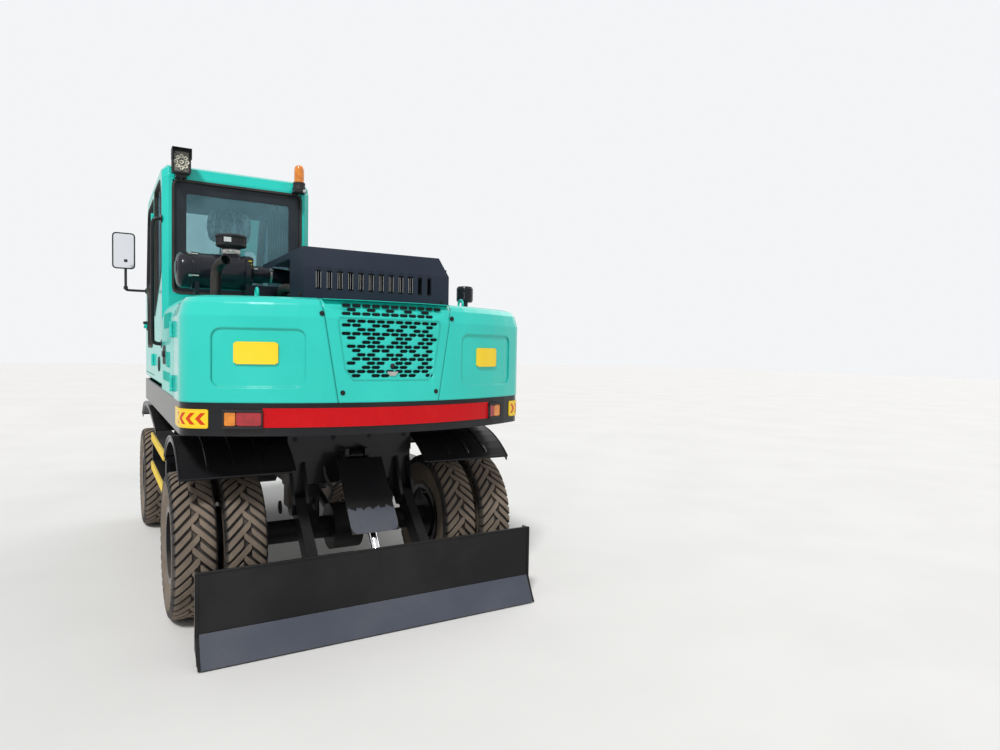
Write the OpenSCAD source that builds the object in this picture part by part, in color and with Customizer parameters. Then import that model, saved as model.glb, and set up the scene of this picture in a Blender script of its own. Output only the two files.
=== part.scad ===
// Wheeled excavator with eight twin tyres, a rear dozer blade, a cab and a digging arm.
// X points forward, Y to the left and Z up. The origin is on the ground under the slewing centre.
// The upper body faces forward, the boom is parked over the front axle and the arm hangs down.

/* [Wheels and axles] */
// Distance between the front and rear axles
wheelbase = 2444; // [2380:2500]
// Distance from the slewing centre back to the rear axle
rear_axle_back = 980; // [950:1010]
// Radius of a tyre over its lugs
tyre_r = 430; // [415:435]
// Number of tread bars round one half of a tyre
bar_count = 21; // [19:23]
// Height of a tread bar
bar_h = 19; // [15:22]
// Width of a tread bar along the tread
bar_w = 60; // [48:64]
// Width of one tyre
tyre_w = 235; // [220:245]
// Distance between the centres of two twin tyres
twin_pitch = 270; // [262:285]
// Distance from the middle of the machine to the centre of an outer tyre
outer_tyre_y = 951; // [940:960]
// Radius of a rim over its flange
rim_r = 226; // [215:235]
// Radius of the wheel studs' circle
stud_circle_r = 110; // [100:116]
// Number of wheel studs
stud_count = 8; // [6:10]
// Radius of a hub over its drum
drum_r = 165; // [155:172]
// Radius of an axle tube
axle_tube_r = 72; // [60:80]
// Radius of a wheel spindle
spindle_r = 45; // [38:52]
// Distance from the middle of the machine to a steering pivot
kingpin_y = 492; // [480:500]
// Radius of a steering pivot pin
kingpin_r = 24; // [20:28]

/* [Chassis] */
// Width of the chassis box
chassis_w = 560; // [520:600]
// Height of the chassis top above the ground
chassis_top = 1010; // [990:1030]
// Depth of the chassis box
chassis_depth = 350; // [320:370]
// Outside radius of the slewing bearing
slew_r = 480; // [440:500]
// Radial thickness of the slewing bearing
slew_wall = 60; // [50:80]
// Thickness of a fender sheet
fender_t = 8; // [6:12]
// Height of the fenders' crowns above the ground
fender_top = 1070; // [1050:1085]
// Height of a step frame
step_h = 300; // [280:320]
// Height of a yellow step tread's face
tread_h = 56; // [50:62]

/* [Dozer blade] */
// Width of the blade
blade_w = 1986; // [1900:2050]
// Height of the blade above its cutting edge
blade_h = 462; // [430:480]
// Height of the cutting edge above the ground when parked
blade_clear = 8; // [5:15]
// Thickness of the blade plate
blade_t = 22; // [18:28]
// Radius of the blade's pivot pins
blade_pin_r = 22; // [18:26]

/* [Upper body] */
// Half of the width of the upper body
body_half_w = 1044; // [1020:1060]
// Radius that the tail swings
tail_r = 1840; // [1800:1860]
// Radius of the tail's corners seen from above
tail_corner_r = 150; // [100:200]
// Height of the skirt's lower edge
skirt_bottom = 1142; // [1136:1150]
// Height of the skirt's upper edge, where the body panels start
skirt_top = 1317; // [1300:1325]
// Height of the body's top
body_top = 1880; // [1860:1900]
// Thickness of the body's sheet doors
panel_t = 30; // [25:35]
// Gap round a door
door_gap = 6; // [5:8]

/* [Hood] */
// Height of the hood above the body's top
hood_h = 300; // [280:310]
// Half of the width of the hood
hood_half_w = 420; // [400:430]
// Width of the hood's bevelled edges
hood_bevel = 55; // [45:60]
// Number of slots in the hood's rear face
hood_slots = 12; // [10:13]
// Thickness of the hood's sheet
hood_t = 6; // [5:8]

/* [Cab] */
// Distance from the slewing centre back to the cab's rear face
cab_back = 380; // [375:385]
// Left face of the cab, measured from the middle of the machine
cab_left = 1040; // [1035:1042]
// Width of the cab
cab_w = 966; // [950:972]
// Height of the cab's roof
cab_top = 2822; // [2800:2840]
// Thickness of the cab's walls and posts
cab_wall = 45; // [42:50]
// Thickness of the panes
glass_t = 6; // [5:8]

/* [Digging arm] */
// Distance of the boom's middle plane to the right of the machine's middle
boom_offset = 240; // [235:245]
// Width of the boom
boom_w = 240; // [230:250]
// Width of the arm
stick_w = 150; // [140:154]
// Width of the bucket
bucket_w = 760; // [700:800]
// Thickness of the bucket's plates
bucket_t = 16; // [12:20]
// Number of bucket teeth
teeth = 5; // [4:6]
// Outside radius of the boom cylinder
boom_cyl_r = 62; // [56:64]
// Outside radius of the arm cylinder
arm_cyl_r = 54; // [50:56]
// Outside radius of the bucket cylinder
bucket_cyl_r = 48; // [44:50]
// Radius of the cylinders' chromed rods
rod_r = 28; // [24:30]
// Radius of the main pivot pins
pin_r = 30; // [26:32]

/* [Hidden] */
$fn = 48;

// Clearances: a pin in its bore, two faces that slide past each other, a pane in its frame
pin_play = 0.05;
slide_gap = 0.5;
side_gap = 6;
pane_gap = 0.3;

rear_x = -rear_axle_back;
front_x = wheelbase - rear_axle_back;
twin_mid = outer_tyre_y - twin_pitch / 2;
chassis_bottom = chassis_top - chassis_depth;
hub_in = kingpin_y + 112;
slew_face = (chassis_top + skirt_bottom) / 2;
boom_y = -boom_offset;
deck_t = 24;

// Drawing helpers. Outlines are lists of [x, z] points, and turn() turns one about +Y.
function turn(p, a) = [p[0] * cos(a) + p[1] * sin(a), p[1] * cos(a) - p[0] * sin(a)];
function arc(c, r, a0, a1, n) = [for (i = [0 : n]) c + r * [cos(a0 + (a1 - a0) * i / n), sin(a0 + (a1 - a0) * i / n)]];
module across(y_from, y_to) {
    translate([0, y_to, 0]) rotate([90, 0, 0]) linear_extrude(y_to - y_from) children();
}
module rod_y(r, y_from, y_to, x = 0, z = 0) {
    translate([x, y_from, z]) rotate([-90, 0, 0]) cylinder(r = r, h = y_to - y_from);
}
module rod_xz(r, p, q, y) {
    d = q - p;
    translate([p[0], y, p[1]]) rotate([0, atan2(d[0], d[1]), 0]) cylinder(r = r, h = norm(d));
}
module block(from, to) {
    translate(from) cube(to - from);
}
module mirrored_y() {
    children();
    mirror([0, 1, 0]) children();
}

// Chassis
module chassis_frame() color("#1b1d20") {
    half = chassis_w / 2;
    rear_end = rear_x - 150;
    front_end = front_x + 290;
    difference() {
        union() {
            across(-half, half) polygon([[rear_end, chassis_top], [rear_end, chassis_bottom + 90],
                [rear_x + 160, chassis_bottom], [front_x - 260, chassis_bottom], [front_x - 120, chassis_bottom + 60],
                [front_end, chassis_bottom + 60], [front_end, chassis_top - 40], [front_x + 200, chassis_top]]);
            translate([0, 0, chassis_top - 30]) cylinder(r = slew_r + 12, h = 30, $fn = 64);
            block([rear_end - 20, -406, chassis_top - 116], [rear_end, 406, chassis_top + 60]);
            mirrored_y() {
                translate([rear_x, 0, 0]) block([-80, axle_pad_y - 50, axle_z + axle_tube_r + 10], [80, half, chassis_bottom + 90]);
                blade_ear();
            }
            for (s = [-1, 1]) block([rear_end - 130, s * 64 - 12, blade_base[1] - 60], [rear_end, s * 64 + 12, blade_base[1] + 50]);
            block([front_x - 110, -70, chassis_bottom - 70], [front_x + 110, 70, chassis_bottom + 60]);
        }
        rod_y(pin_r + pin_play, -200, 200, blade_base[0], blade_base[1]);
        for (s = [-1, 1]) rod_y(blade_pin_r + pin_play, s * blade_arm_y - 90, s * blade_arm_y + 90, blade_pivot[0], blade_pivot[1]);
    }
}
axle_z = tyre_r;
axle_pad_y = 230;
blade_pivot = [rear_x - 220, 640];
blade_arm_y = 350;
blade_base = [rear_x - 235, 930];
module blade_ear() {
    for (s = [-1, 1]) {
        across(blade_arm_y + s * 42 - 10, blade_arm_y + s * 42 + 10)
            polygon([[rear_x - 150, 900], [rear_x - 170, 900], [blade_pivot[0] - 60, blade_pivot[1] + 20],
                [blade_pivot[0] - 45, blade_pivot[1] - 50], [blade_pivot[0] + 20, blade_pivot[1] - 60], [rear_x - 150, 640]]);
    }
    block([rear_x - 150, 270, 620], [rear_x - 60, blade_arm_y + 52, 900]);
}

module rear_axle() color("#202226") {
    translate([rear_x, 0, axle_z]) {
        rod_y(axle_tube_r, -hub_in, hub_in);
        rod_y(150, -95, 95);
        block([100, -48, -28], [diff_nose, 48, 68]);
        mirrored_y() {
            block([-75, axle_pad_y - 45, 0], [75, axle_pad_y + 45, axle_tube_r + 10]);
            rod_y(drum_r - 10, hub_in - 26, hub_in);
            rod_y(spindle_r, hub_in, twin_mid - 10);
        }
    }
}

diff_nose = 165;
shaft_r = 30;
joint_r = 38;
yoke_in = 110;
yoke_t = 34;
module front_axle() color("#202226") {
    translate([front_x, 0, axle_z]) {
        difference() {
            union() {
                rod_y(axle_tube_r, -kingpin_y + 66, kingpin_y - 66);
                rod_y(140, -90, 90);
                block([-diff_nose, -48, -28], [-100, 48, 68]);
                block([-60, -60, 0], [60, 60, chassis_bottom - 70 - axle_z]);
                mirrored_y() {
                    block([-55, kingpin_y - 92, -yoke_in - yoke_t], [55, kingpin_y - 62, yoke_in + yoke_t]);
                    for (s = [-1, 1]) translate([0, 0, s * (yoke_in + yoke_t / 2)])
                        block([-50, kingpin_y - 64, -yoke_t / 2], [50, kingpin_y + 34, yoke_t / 2]);
                }
            }
            mirrored_y() translate([0, kingpin_y, -300]) cylinder(r = kingpin_r + pin_play, h = 600);
        }
        rod_y(38, -170, 170, 175, 0);
        rod_y(16, -230, 230, 175, 0);
        block([60, -60, -38], [175, 60, 38]);
    }
}

module knuckle_left() color("#26282c") {
    translate([front_x, 0, axle_z]) {
        translate([0, kingpin_y, -yoke_in + slide_gap]) cylinder(r = 48, h = 2 * (yoke_in - slide_gap));
        translate([0, kingpin_y, -yoke_in - yoke_t]) cylinder(r = kingpin_r, h = 2 * (yoke_in + yoke_t));
        rod_y(62, kingpin_y, hub_in - 24);
        rod_y(drum_r - 10, hub_in - 26, hub_in);
        rod_y(spindle_r, hub_in, twin_mid - 10);
    }
}
module knuckle_right() mirror([0, 1, 0]) knuckle_left();

module drive_line() color("#2a2c30") {
    block([-150, -130, chassis_bottom - 150], [190, 130, chassis_bottom]);
    shaft_z = chassis_bottom - 75;
    ends = [[[rear_x + diff_nose + joint_r, axle_z + 20], [-150 - joint_r, shaft_z]],
        [[190 + joint_r, shaft_z], [front_x - diff_nose - joint_r, axle_z + 20]]];
    for (e = ends) {
        rod_xz(shaft_r, e[0], e[1], 0);
        for (p = e) translate([p[0], 0, p[1]]) sphere(r = joint_r);
    }
}

module slewing_ring() color("#303338") {
    translate([0, 0, chassis_top]) difference() {
        cylinder(r = slew_r, h = slew_face - slide_gap - chassis_top);
        translate([0, 0, -1]) cylinder(r = slew_r - slew_wall, h = 200);
    }
}

// Fenders: the outline of each sheet's top as [x, z] points from the front to the rear
fender_in = [410, 330];
fender_out = 1035;
fender_rear_r = 670;
fender_tops = [arc([rear_x + 50, fender_top - fender_rear_r], fender_rear_r, 47, 133, 14),
    [[2020, 950], [1900, 1015], [1760, 1072], [1500, 1106], [1140, 1095], [700, 1035], [330, 975]]];
fender_brackets = [[rear_x - 60, rear_x + 140], [440, 1264, 1600]];
function lowered(p, d) = [for (i = [len(p) - 1 : -1 : 0]) p[i] - [0, d]];
module fenders() color("#17191b") {
    mirrored_y() for (i = [0, 1]) {
        top = fender_tops[i];
        across(fender_in[i], fender_out) polygon(concat(top, lowered(top, fender_t)));
        across(fender_out - fender_t, fender_out) polygon(concat(top, lowered(top, 36)));
        for (x = fender_brackets[i])
            block([x, chassis_w / 2, chassis_top - 90], [x + 60, fender_in[i] + 50, lookup(x + 30, top) - fender_t / 2]);
    }
}

step_front = 865;
step_back = -430;
step_top = 900;
step_in = 880;
module step_frames() color("#191b1e") {
    mirrored_y() {
        difference() {
            block([step_back, step_in, step_top - step_h], [step_front, 1022, step_top]);
            block([step_back + 40, step_in - 10, step_top - step_h + tread_h + 10], [step_front - 40, 1050, step_top - tread_h - 10]);
        }
        for (x = [-200, 560]) block([x, chassis_w / 2, step_top - 62], [x + 80, step_in, step_top - 14]);
    }
}
module step_treads() color("#e8c21a") {
    mirrored_y() for (z = [step_top - tread_h - 5, step_top - step_h + 5])
        block([step_back + 60, 1022, z], [step_front - 60, 1034, z + tread_h]);
}

// Wheels. The carcass outline is [radius, distance from the tyre's middle]. The bars of the tread lean on both
// halves and stand half a pitch apart, so that their ends mesh along the middle.
module tyre(y, start) {
    h = tyre_w / 2;
    floor_r = tyre_r - bar_h;
    function bar_point(t, side) = [(bar_mid - t) * bar_lean + side * bar_w / 2, t];
    translate([0, y, 0]) {
        rotate([-90, 0, 0]) rotate_extrude($fn = 96) polygon([
            [tyre_bead_r, -h * 0.74], [rim_r + 0.5, -h * 0.74], [tyre_bead_r + 60, -h * 0.96], [tyre_r - 110, -h],
            [tyre_r - 56, -h * 0.97], [floor_r - 4, -h * 0.8], [floor_r, -h * 0.6], [floor_r, h * 0.6], [floor_r - 4, h * 0.8],
            [tyre_r - 56, h * 0.97], [tyre_r - 110, h], [tyre_bead_r + 60, h * 0.96], [rim_r + 0.5, h * 0.74],
            [tyre_bead_r, h * 0.74]]);
        intersection() {
            rotate([-90, 0, 0]) rotate_extrude($fn = 96) polygon([[floor_r - 30, -h * 0.7], [tyre_r - 62, -h * 0.98],
                [tyre_r - 40, -h], [tyre_r, -h * 0.72], [tyre_r, h * 0.72], [tyre_r - 40, h], [tyre_r - 62, h * 0.98],
                [floor_r - 30, h * 0.7]]);
            for (i = [0 : bar_count - 1], s = [-1, 1]) rotate([0, start + (i + s / 4) * 360 / bar_count, 0])
                translate([0, 0, tyre_r - 80]) linear_extrude(90) polygon([for (p = [bar_point(-bar_lap, -1), bar_point(-bar_lap, 1),
                    bar_point(h + 1, 1), bar_point(h + 1, -1)]) [p[0], s * p[1]]]);
        }
    }
}
tyre_bead_r = 205;
// A bar starts past the middle of the tread, and its own middle lies this far out
bar_lap = 14;
bar_mid = 52;
bar_lean = 1.02;
module twin_tyres(x, s) color("#4a4038") translate([x, 0, axle_z]) {
    tyre(s * outer_tyre_y, 0);
    tyre(s * (outer_tyre_y - twin_pitch), 6);
}
module tyres_front_left() twin_tyres(front_x, 1);
module tyres_front_right() twin_tyres(front_x, -1);
module tyres_rear_left() twin_tyres(rear_x, 1);
module tyres_rear_right() twin_tyres(rear_x, -1);

// One twin wheel: two dished rims bolted back to back on the hub's drum
module twin_wheel(x) color("#1c1d1f") translate([x, 0, axle_z]) {
    seat_w = tyre_w * 0.74 / 2;
    difference() {
        union() {
            for (m = [-1, 1]) translate([0, twin_mid + m * twin_pitch / 2, 0]) rotate([-90, 0, 0]) rotate_extrude($fn = 96)
                polygon([[tyre_bead_r - 12, -seat_w - 12], [rim_r, -seat_w - 12], [rim_r, -seat_w], [tyre_bead_r, -seat_w],
                    [tyre_bead_r, seat_w], [rim_r, seat_w], [rim_r, seat_w + 12], [tyre_bead_r - 12, seat_w + 12]]);
            rod_y(tyre_bead_r - 4, twin_mid - 12, twin_mid + 12);
            for (m = [-1, 1]) rotate([-90, 0, 0]) rotate_extrude($fn = 96) polygon([
                [tyre_bead_r - 14, twin_mid], [tyre_bead_r - 14, twin_mid + m * (twin_pitch / 2 - seat_w - 4)],
                [tyre_bead_r - 4, twin_mid + m * (twin_pitch / 2 - seat_w - 4)], [tyre_bead_r - 4, twin_mid]]);
            rod_y(drum_r, hub_in + side_gap, twin_mid);
            rod_y(82, twin_mid, twin_mid + 120);
            for (i = [0 : stud_count - 1]) rotate([0, i * 360 / stud_count, 0])
                rod_y(13, twin_mid, twin_mid + 42, stud_circle_r, 0);
        }
        rod_y(spindle_r + pin_play, hub_in, twin_mid - 8);
    }
}
module wheel_front_left() twin_wheel(front_x);
module wheel_front_right() mirror([0, 1, 0]) twin_wheel(front_x);
module wheel_rear_left() twin_wheel(rear_x);
module wheel_rear_right() mirror([0, 1, 0]) twin_wheel(rear_x);

// Dozer blade
blade_x = rear_x - 761;
blade_eye = [rear_x - 685, 360];
module blade() color("#222428") {
    half = blade_w / 2;
    bottom = blade_clear;
    top = blade_clear + blade_h;
    difference() {
        union() {
            across(-half, half) polygon([[blade_x, top], [blade_x, bottom + 144], [blade_x - 82, bottom],
                [blade_x - 82 + 26, bottom], [blade_x + blade_t, bottom + 138], [blade_x + blade_t, top]]);
            mirrored_y() {
                across(half - 14, half) polygon([[blade_x, top], [blade_x, bottom + 144], [blade_x - 60, bottom + 20],
                    [blade_x + 60, bottom + 60], [blade_x + 60, top]]);
                across(blade_arm_y - 30, blade_arm_y + 30) polygon([[blade_x + blade_t, 380], [blade_x + blade_t, 160],
                    [blade_x + 140, 190], [blade_pivot[0] + 30, blade_pivot[1] - 50], [blade_pivot[0] + 52, blade_pivot[1]],
                    [blade_pivot[0] + 30, blade_pivot[1] + 48], [blade_pivot[0] - 30, blade_pivot[1] + 48], [blade_x + 190, 400]]);
            }
            across(-blade_arm_y, blade_arm_y) polygon([[blade_x + blade_t, 285], [blade_x + blade_t, 180], [blade_x + 90, 200], [blade_x + 90, 262]]);
            for (s = [-1, 1]) across(s * 52 - 12, s * 52 + 12) polygon([[blade_x + blade_t, 440], [blade_x + blade_t, 200],
                [blade_eye[0] + 30, 250], [blade_eye[0] + 48, blade_eye[1]], [blade_eye[0] + 30, blade_eye[1] + 45], [blade_eye[0] - 30, blade_eye[1] + 60]]);
        }
        rod_y(pin_r, -100, 100, blade_eye[0], blade_eye[1]);
        mirrored_y() rod_y(blade_pin_r + pin_play, blade_arm_y - 60, blade_arm_y + 60, blade_pivot[0], blade_pivot[1]);
    }
    mirrored_y() rod_y(blade_pin_r, blade_arm_y - 52, blade_arm_y + 52, blade_pivot[0], blade_pivot[1]);
}

// Hydraulic cylinders run from a base eye to a rod eye. The barrel ends a share of the way along.
function toward(p, q, d) = p + (q - p) * d / norm(q - p);
module cylinder_barrel(base, eye, y, r, reach, half_eye) {
    difference() {
        union() {
            rod_y(r * 0.8, y - half_eye, y + half_eye, base[0], base[1]);
            rod_xz(r, toward(base, eye, r * 0.7), toward(base, eye, reach), y);
            rod_xz(r + 7, toward(base, eye, reach - 60), toward(base, eye, reach), y);
        }
        rod_xz(rod_r + pin_play, toward(base, eye, r + 30), toward(base, eye, reach + 10), y);
    }
    rod_y(pin_r, y - half_eye - 34, y + half_eye + 34, base[0], base[1]);
}
module cylinder_rod(base, eye, y, inset, half_eye) {
    rod_xz(rod_r, toward(base, eye, inset), toward(eye, base, pin_r + 8), y);
    rod_y(pin_r + 16, y - half_eye, y + half_eye, eye[0], eye[1]);
}
blade_reach = 470;
module blade_cylinder() color("#222428") {
    cylinder_barrel(blade_base, blade_eye, 0, 48, blade_reach, 40);
    u = (blade_eye - blade_base) / norm(blade_eye - blade_base);
    n = [u[1], -u[0]];
    across(-145, 145) polygon([blade_base + u * 60 + n * 62, blade_base + u * 560 + n * 62, blade_base + u * 560 + n * 70, blade_base + u * 60 + n * 70]);
    across(-14, 14) polygon([blade_base + u * 80 + n * 40, blade_base + u * 400 + n * 40, blade_base + u * 400 + n * 64, blade_base + u * 80 + n * 64]);
}
module blade_rod() color("#d0d2d4") cylinder_rod(blade_base, blade_eye, 0, 200, 36);

// Outline of the upper body seen from above, set in by a margin
function body_plan(front, inset) = let (w = body_half_w - inset, r = tail_r - inset, k = tail_corner_r,
    cy = w - k, cx = -sqrt(pow(r - k, 2) - cy * cy), a = atan2(cy, cx))
    concat(arc([cx, cy], k, 90, a, 8), arc([0, 0], r, a, 360 - a, 16), arc([cx, -cy], k, 360 - a, 270, 8), [[front, -w], [front, w]]);
seam_x = 640 - tail_r;
upper_front = 1390;
module upper_frame() color("#16181a") {
    difference() {
        union() {
            difference() {
                translate([0, 0, skirt_bottom]) linear_extrude(skirt_top - skirt_bottom) polygon(body_plan(upper_front, 4));
                translate([0, 0, skirt_bottom + deck_t]) linear_extrude(skirt_top) polygon(body_plan(upper_front - 14, 20));
            }
            for (y = [boom_y - boom_w / 2 - 28, boom_y + boom_w / 2 + 4])
                across(y, y + 24) polygon([[-500, skirt_bottom + deck_t], [-300, skirt_top + 60], [700, skirt_top + 60], [900, boom_foot[1] + 90],
                    [1080, boom_foot[1] + 90], [1130, skirt_top + 60], [upper_front + 20, skirt_top - 50], [upper_front + 20, skirt_bottom], [1200, skirt_bottom]]);
            block([-900, -body_half_w + 20, skirt_bottom + deck_t], [-850, body_half_w - 20, skirt_top]);
            block([-60, -body_half_w + 20, skirt_bottom + deck_t], [0, body_half_w - 20, skirt_top]);
            translate([0, 0, slew_face]) cylinder(r = slew_r, h = skirt_bottom - slew_face + 1);
        }
        block([700, boom_y - boom_w / 2 - 4, skirt_bottom + deck_t], [1500, boom_y + boom_w / 2 + 4, 1700]);
        block([1230, boom_y - boom_w / 2 - 4, skirt_bottom - 1], [1500, boom_y + boom_w / 2 + 4, 1700]);
        translate([0, 0, slew_face - 1]) cylinder(r = slew_r - slew_wall, h = skirt_bottom - slew_face + 2);
        rod_y(pin_r + pin_play, boom_y - 200, boom_y + 200, boom_foot[0], boom_foot[1]);
        rod_y(pin_r + pin_play, boom_y - 200, boom_y + 200, boom_base[0], boom_base[1]);
    }
}

// Heights and insets of the body's rounded upper edge: [height below the top, inset]
shoulder = [[110, 0], [40, 18], [12, 40], [0, 75]];
module body_solid(front) {
    hull() {
        translate([0, 0, skirt_top]) linear_extrude(body_top - skirt_top - shoulder[0][0]) polygon(body_plan(front, 0));
        for (s = shoulder) translate([0, 0, body_top - s[0] - 1]) linear_extrude(1) polygon(body_plan(front, s[1]));
    }
}
bay_half_w = 380;
bay_back = 280 - tail_r;
module counterweight() color("#2cc9ae") {
    difference() {
        body_solid(seam_x);
        block([bay_back, -bay_half_w, skirt_top - 1], [seam_x + 1, bay_half_w, body_top + 1]);
        grille_cut(0);
        mirrored_y() intersection() {
            translate([0, 0, skirt_top + 60]) linear_extrude(400) difference() {
                polygon(body_plan(seam_x, -20));
                polygon(body_plan(seam_x, field_d));
            }
            rotate([90, 0, -90]) linear_extrude(tail_r + 50) polygon(round_box(-field_y[1], skirt_top + 83, -field_y[0], skirt_top + 390, 45));
        }
    }
    mirrored_y() for (h = side_hinge_z) side_hinge_fixed(side_hinge_x, body_half_w, h);
}
// Shallow fields pressed into the tail: [from, to] across, and their depth
field_y = [465, 905];
field_d = 8;
function round_box(x0, y0, x1, y1, r) = concat(arc([x1 - r, y1 - r], r, 0, 90, 4), arc([x0 + r, y1 - r], r, 90, 180, 4),
    arc([x0 + r, y0 + r], r, 180, 270, 4), arc([x1 - r, y0 + r], r, 270, 360, 4));
// The rear panel is wider at its top than at its bottom: [half of the width, height]
panel_top_half = 388;
panel_bottom_half = 298;
module grille_cut(gap) {
    rotate([90, 0, -90]) linear_extrude(tail_r + 50) polygon([[-panel_bottom_half - gap, skirt_top - 1],
        [panel_bottom_half + gap, skirt_top - 1], [panel_top_half + gap, body_top + 1], [-panel_top_half - gap, body_top + 1]]);
}
module rear_grille_panel() color("#2cc9ae") {
    intersection() {
        difference() {
            body_solid(seam_x);
            translate([0, 0, skirt_top - 5]) linear_extrude(body_top) polygon(body_plan(seam_x + 10, panel_t + 40));
        }
        grille_cut(-3);
    }
}

deck_front = -cab_back - 14;
hood_back = 270 - tail_r;
hood_front = -470;
module engine_deck() color("#2cc9ae") {
    difference() {
        block([seam_x, -deck_half, body_top - 30], [deck_front, deck_half, body_top]);
        block([seam_x - 1, -bay_half_w, body_top - 31], [hood_front - 40, bay_half_w, body_top + 1]);
    }
    block([deck_front - 24, -deck_half + 40, skirt_top], [deck_front, deck_half - 40, body_top - 30]);
    for (x = hood_hinges) {
        block([x - 45, hood_axis[0] - 42, body_top], [x + 45, hood_axis[0] - 11, body_top + 6]);
        for (s = [-45, 20]) difference() {
            union() {
                rod_x(8, x + s, x + s + 25, hood_axis);
                block([x + s, hood_axis[0] - 11, body_top], [x + s + 25, hood_axis[0], body_top + 6]);
            }
            rod_x(4, x - 50, x + 50, hood_axis);
        }
        rod_x(4, x - 45, x + 45, hood_axis);
    }
}
deck_half = body_half_w - 81;
hood_axis = [-hood_half_w - hood_bevel - 13, body_top + 12];
hood_hinges = [hood_back + 520, hood_front - 180];
module rod_x(r, x_from, x_to, p) {
    translate([x_from, p[0], p[1]]) rotate([0, 90, 0]) cylinder(r = r, h = x_to - x_from);
}
engine_top = body_top - 60;
module engine_block() color("#3a3d42") {
    block([360 - tail_r, -330, skirt_top], [-560, 320, engine_top]);
}
module fuel_tank() color("#2cc9ae") {
    block([-360, -body_half_w, skirt_top], [760, boom_y - boom_w / 2 - 60, 1760]);
    block([760, -body_half_w, skirt_top], [1250, boom_y - boom_w / 2 - 60, 1560]);
    translate([600, -body_half_w + 150, 1760]) cylinder(r = 50, h = 30);
}

module engine_hood() color("#25272b") {
    half = hood_half_w;
    b = hood_bevel;
    h = hood_h;
    z = body_top;
    difference() {
        hull() {
            block([hood_back, -half - b, z + 2], [hood_front, half, z + h - b - 60]);
            block([hood_back + b * 0.6, -half, z + 2], [hood_front, half, z + h]);
        }
        hull() {
            block([hood_back + hood_t, -half - b + hood_t, z - 1], [hood_front + 1, half - hood_t, z + h - b - 60 - hood_t]);
            block([hood_back + b * 0.6 + hood_t, -half + hood_t, z - 1], [hood_front + 1, half - hood_t, z + h - hood_t]);
        }
        block([hood_back + 330, half - 20, z - 1], [hood_front + 1, half + 20, z + h - 40]);
        for (i = [0 : hood_slots - 1]) translate([hood_back, (i - (hood_slots - 1) / 2) * 62, z + 70])
            block([-20, -9, 0], [20, 9, 90]);
    }
    for (x = hood_hinges) {
        wall = -half - b;
        block([x - 45, wall - 6, z + 23], [x + 45, wall, z + 46]);
        difference() {
            union() {
                rod_x(8, x - 19.5, x + 19.5, hood_axis);
                block([x - 19.5, hood_axis[0], z + 5], [x + 19.5, wall, z + 30]);
            }
            rod_x(4 + pin_play, x - 30, x + 30, hood_axis);
        }
    }
}

// Side hinges turn about an upright axis just outside a face. The fixed half is to the rear of the axis.
hinge_out = 12;
module side_hinge_fixed(x, face, z) {
    block([x - 48, face - 1, z - 45], [x - 13, face + 6, z + 45]);
    for (s = [-45, 20]) {
        translate([x, face + hinge_out, z + s]) cylinder(r = 10, h = 25);
        block([x - 14, face, z + s], [x, face + 6, z + s + 25]);
    }
    translate([x, face + hinge_out, z - 45]) cylinder(r = 5, h = 90);
}
module side_hinge_moving(x, face, z) {
    block([x + 13, face - 1, z - 45], [x + 48, face + 6, z + 45]);
    difference() {
        union() {
            translate([x, face + hinge_out, z - 19.5]) cylinder(r = 10, h = 39);
            block([x, face + 2.5, z - 19.5], [x + 14, face + 8, z + 19.5]);
        }
        translate([x, face + hinge_out, z - 30]) cylinder(r = 5 + pin_play, h = 60);
    }
}
side_hinge_x = seam_x - 2;
side_hinge_z = [1400, 1700];

// Slots of the side doors: [how many, first one from the seam, height above the skirt, length]
door_slots = [[16, 180, 443, 84], [9, 230, 208, 84], [17, 230, 103, 50]];
slot_pitch = 28.5;
module side_door_left() color("#2cc9ae") {
    w = body_half_w;
    x = seam_x + door_gap;
    z = skirt_top + door_gap;
    difference() {
        translate([x, 0, 0]) rotate([90, 0, 90]) linear_extrude(deck_front - x) polygon([[w, z], [w, body_top - 110],
            [w - 18, body_top - 40], [w - 40, body_top - 12], [w - 75, body_top], [w - 75, body_top - panel_t], [w - 58, body_top - 42],
            [w - 44, body_top - 60], [w - panel_t, body_top - 116], [w - panel_t, z]]);
        for (f = door_slots, i = [0 : f[0] - 1]) translate([seam_x + f[1] + i * slot_pitch, w, skirt_top + f[2]])
            block([-4.5, -panel_t - 1, -f[3] / 2], [4.5, 1, f[3] / 2]);
    }
    for (h = side_hinge_z) side_hinge_moving(side_hinge_x, w, h);
}
module side_door_right() color("#2cc9ae") {
    mirror([0, 1, 0]) side_door_left();
}

cleaner_x = 1140 - tail_r;
cleaner_z = 2085;
module air_cleaner() color("#202225") {
    rod_y(112, 480, 985, cleaner_x, cleaner_z);
    translate([cleaner_x, 664, cleaner_z + 60]) cylinder(r = 58, h = 110);
    translate([cleaner_x, 664, cleaner_z + 155]) cylinder(r = 93, h = 80);
    for (y = [560, 860]) block([cleaner_x - 70, y, body_top], [cleaner_x + 70, y + 30, cleaner_z - 60]);
    rod_y(50, 270, 490, cleaner_x, cleaner_z);
    translate([cleaner_x, 270, cleaner_z]) sphere(r = 52);
    translate([cleaner_x, 270, engine_top]) cylinder(r = 47, h = cleaner_z - engine_top);
    translate([-900, -925, body_top]) cylinder(r = 24, h = 80);
    translate([-900, -940, body_top + 75]) cylinder(r = 60, h = 130);
}
exhaust_at = [830 - tail_r, body_half_w - 244];
exhaust_r = 34;
module exhaust_pipe() color("#3c3a38") {
    translate([exhaust_at[0], exhaust_at[1], body_top]) {
        difference() {
            union() {
                cylinder(r = exhaust_r, h = 236);
                translate([0, 0, 204]) rotate([0, -70, 0]) cylinder(r = exhaust_r - 2, h = 110);
            }
            translate([0, 0, 204]) rotate([0, -70, 0]) translate([0, 0, 50]) cylinder(r = exhaust_r - 5, h = 80);
        }
    }
}

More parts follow.
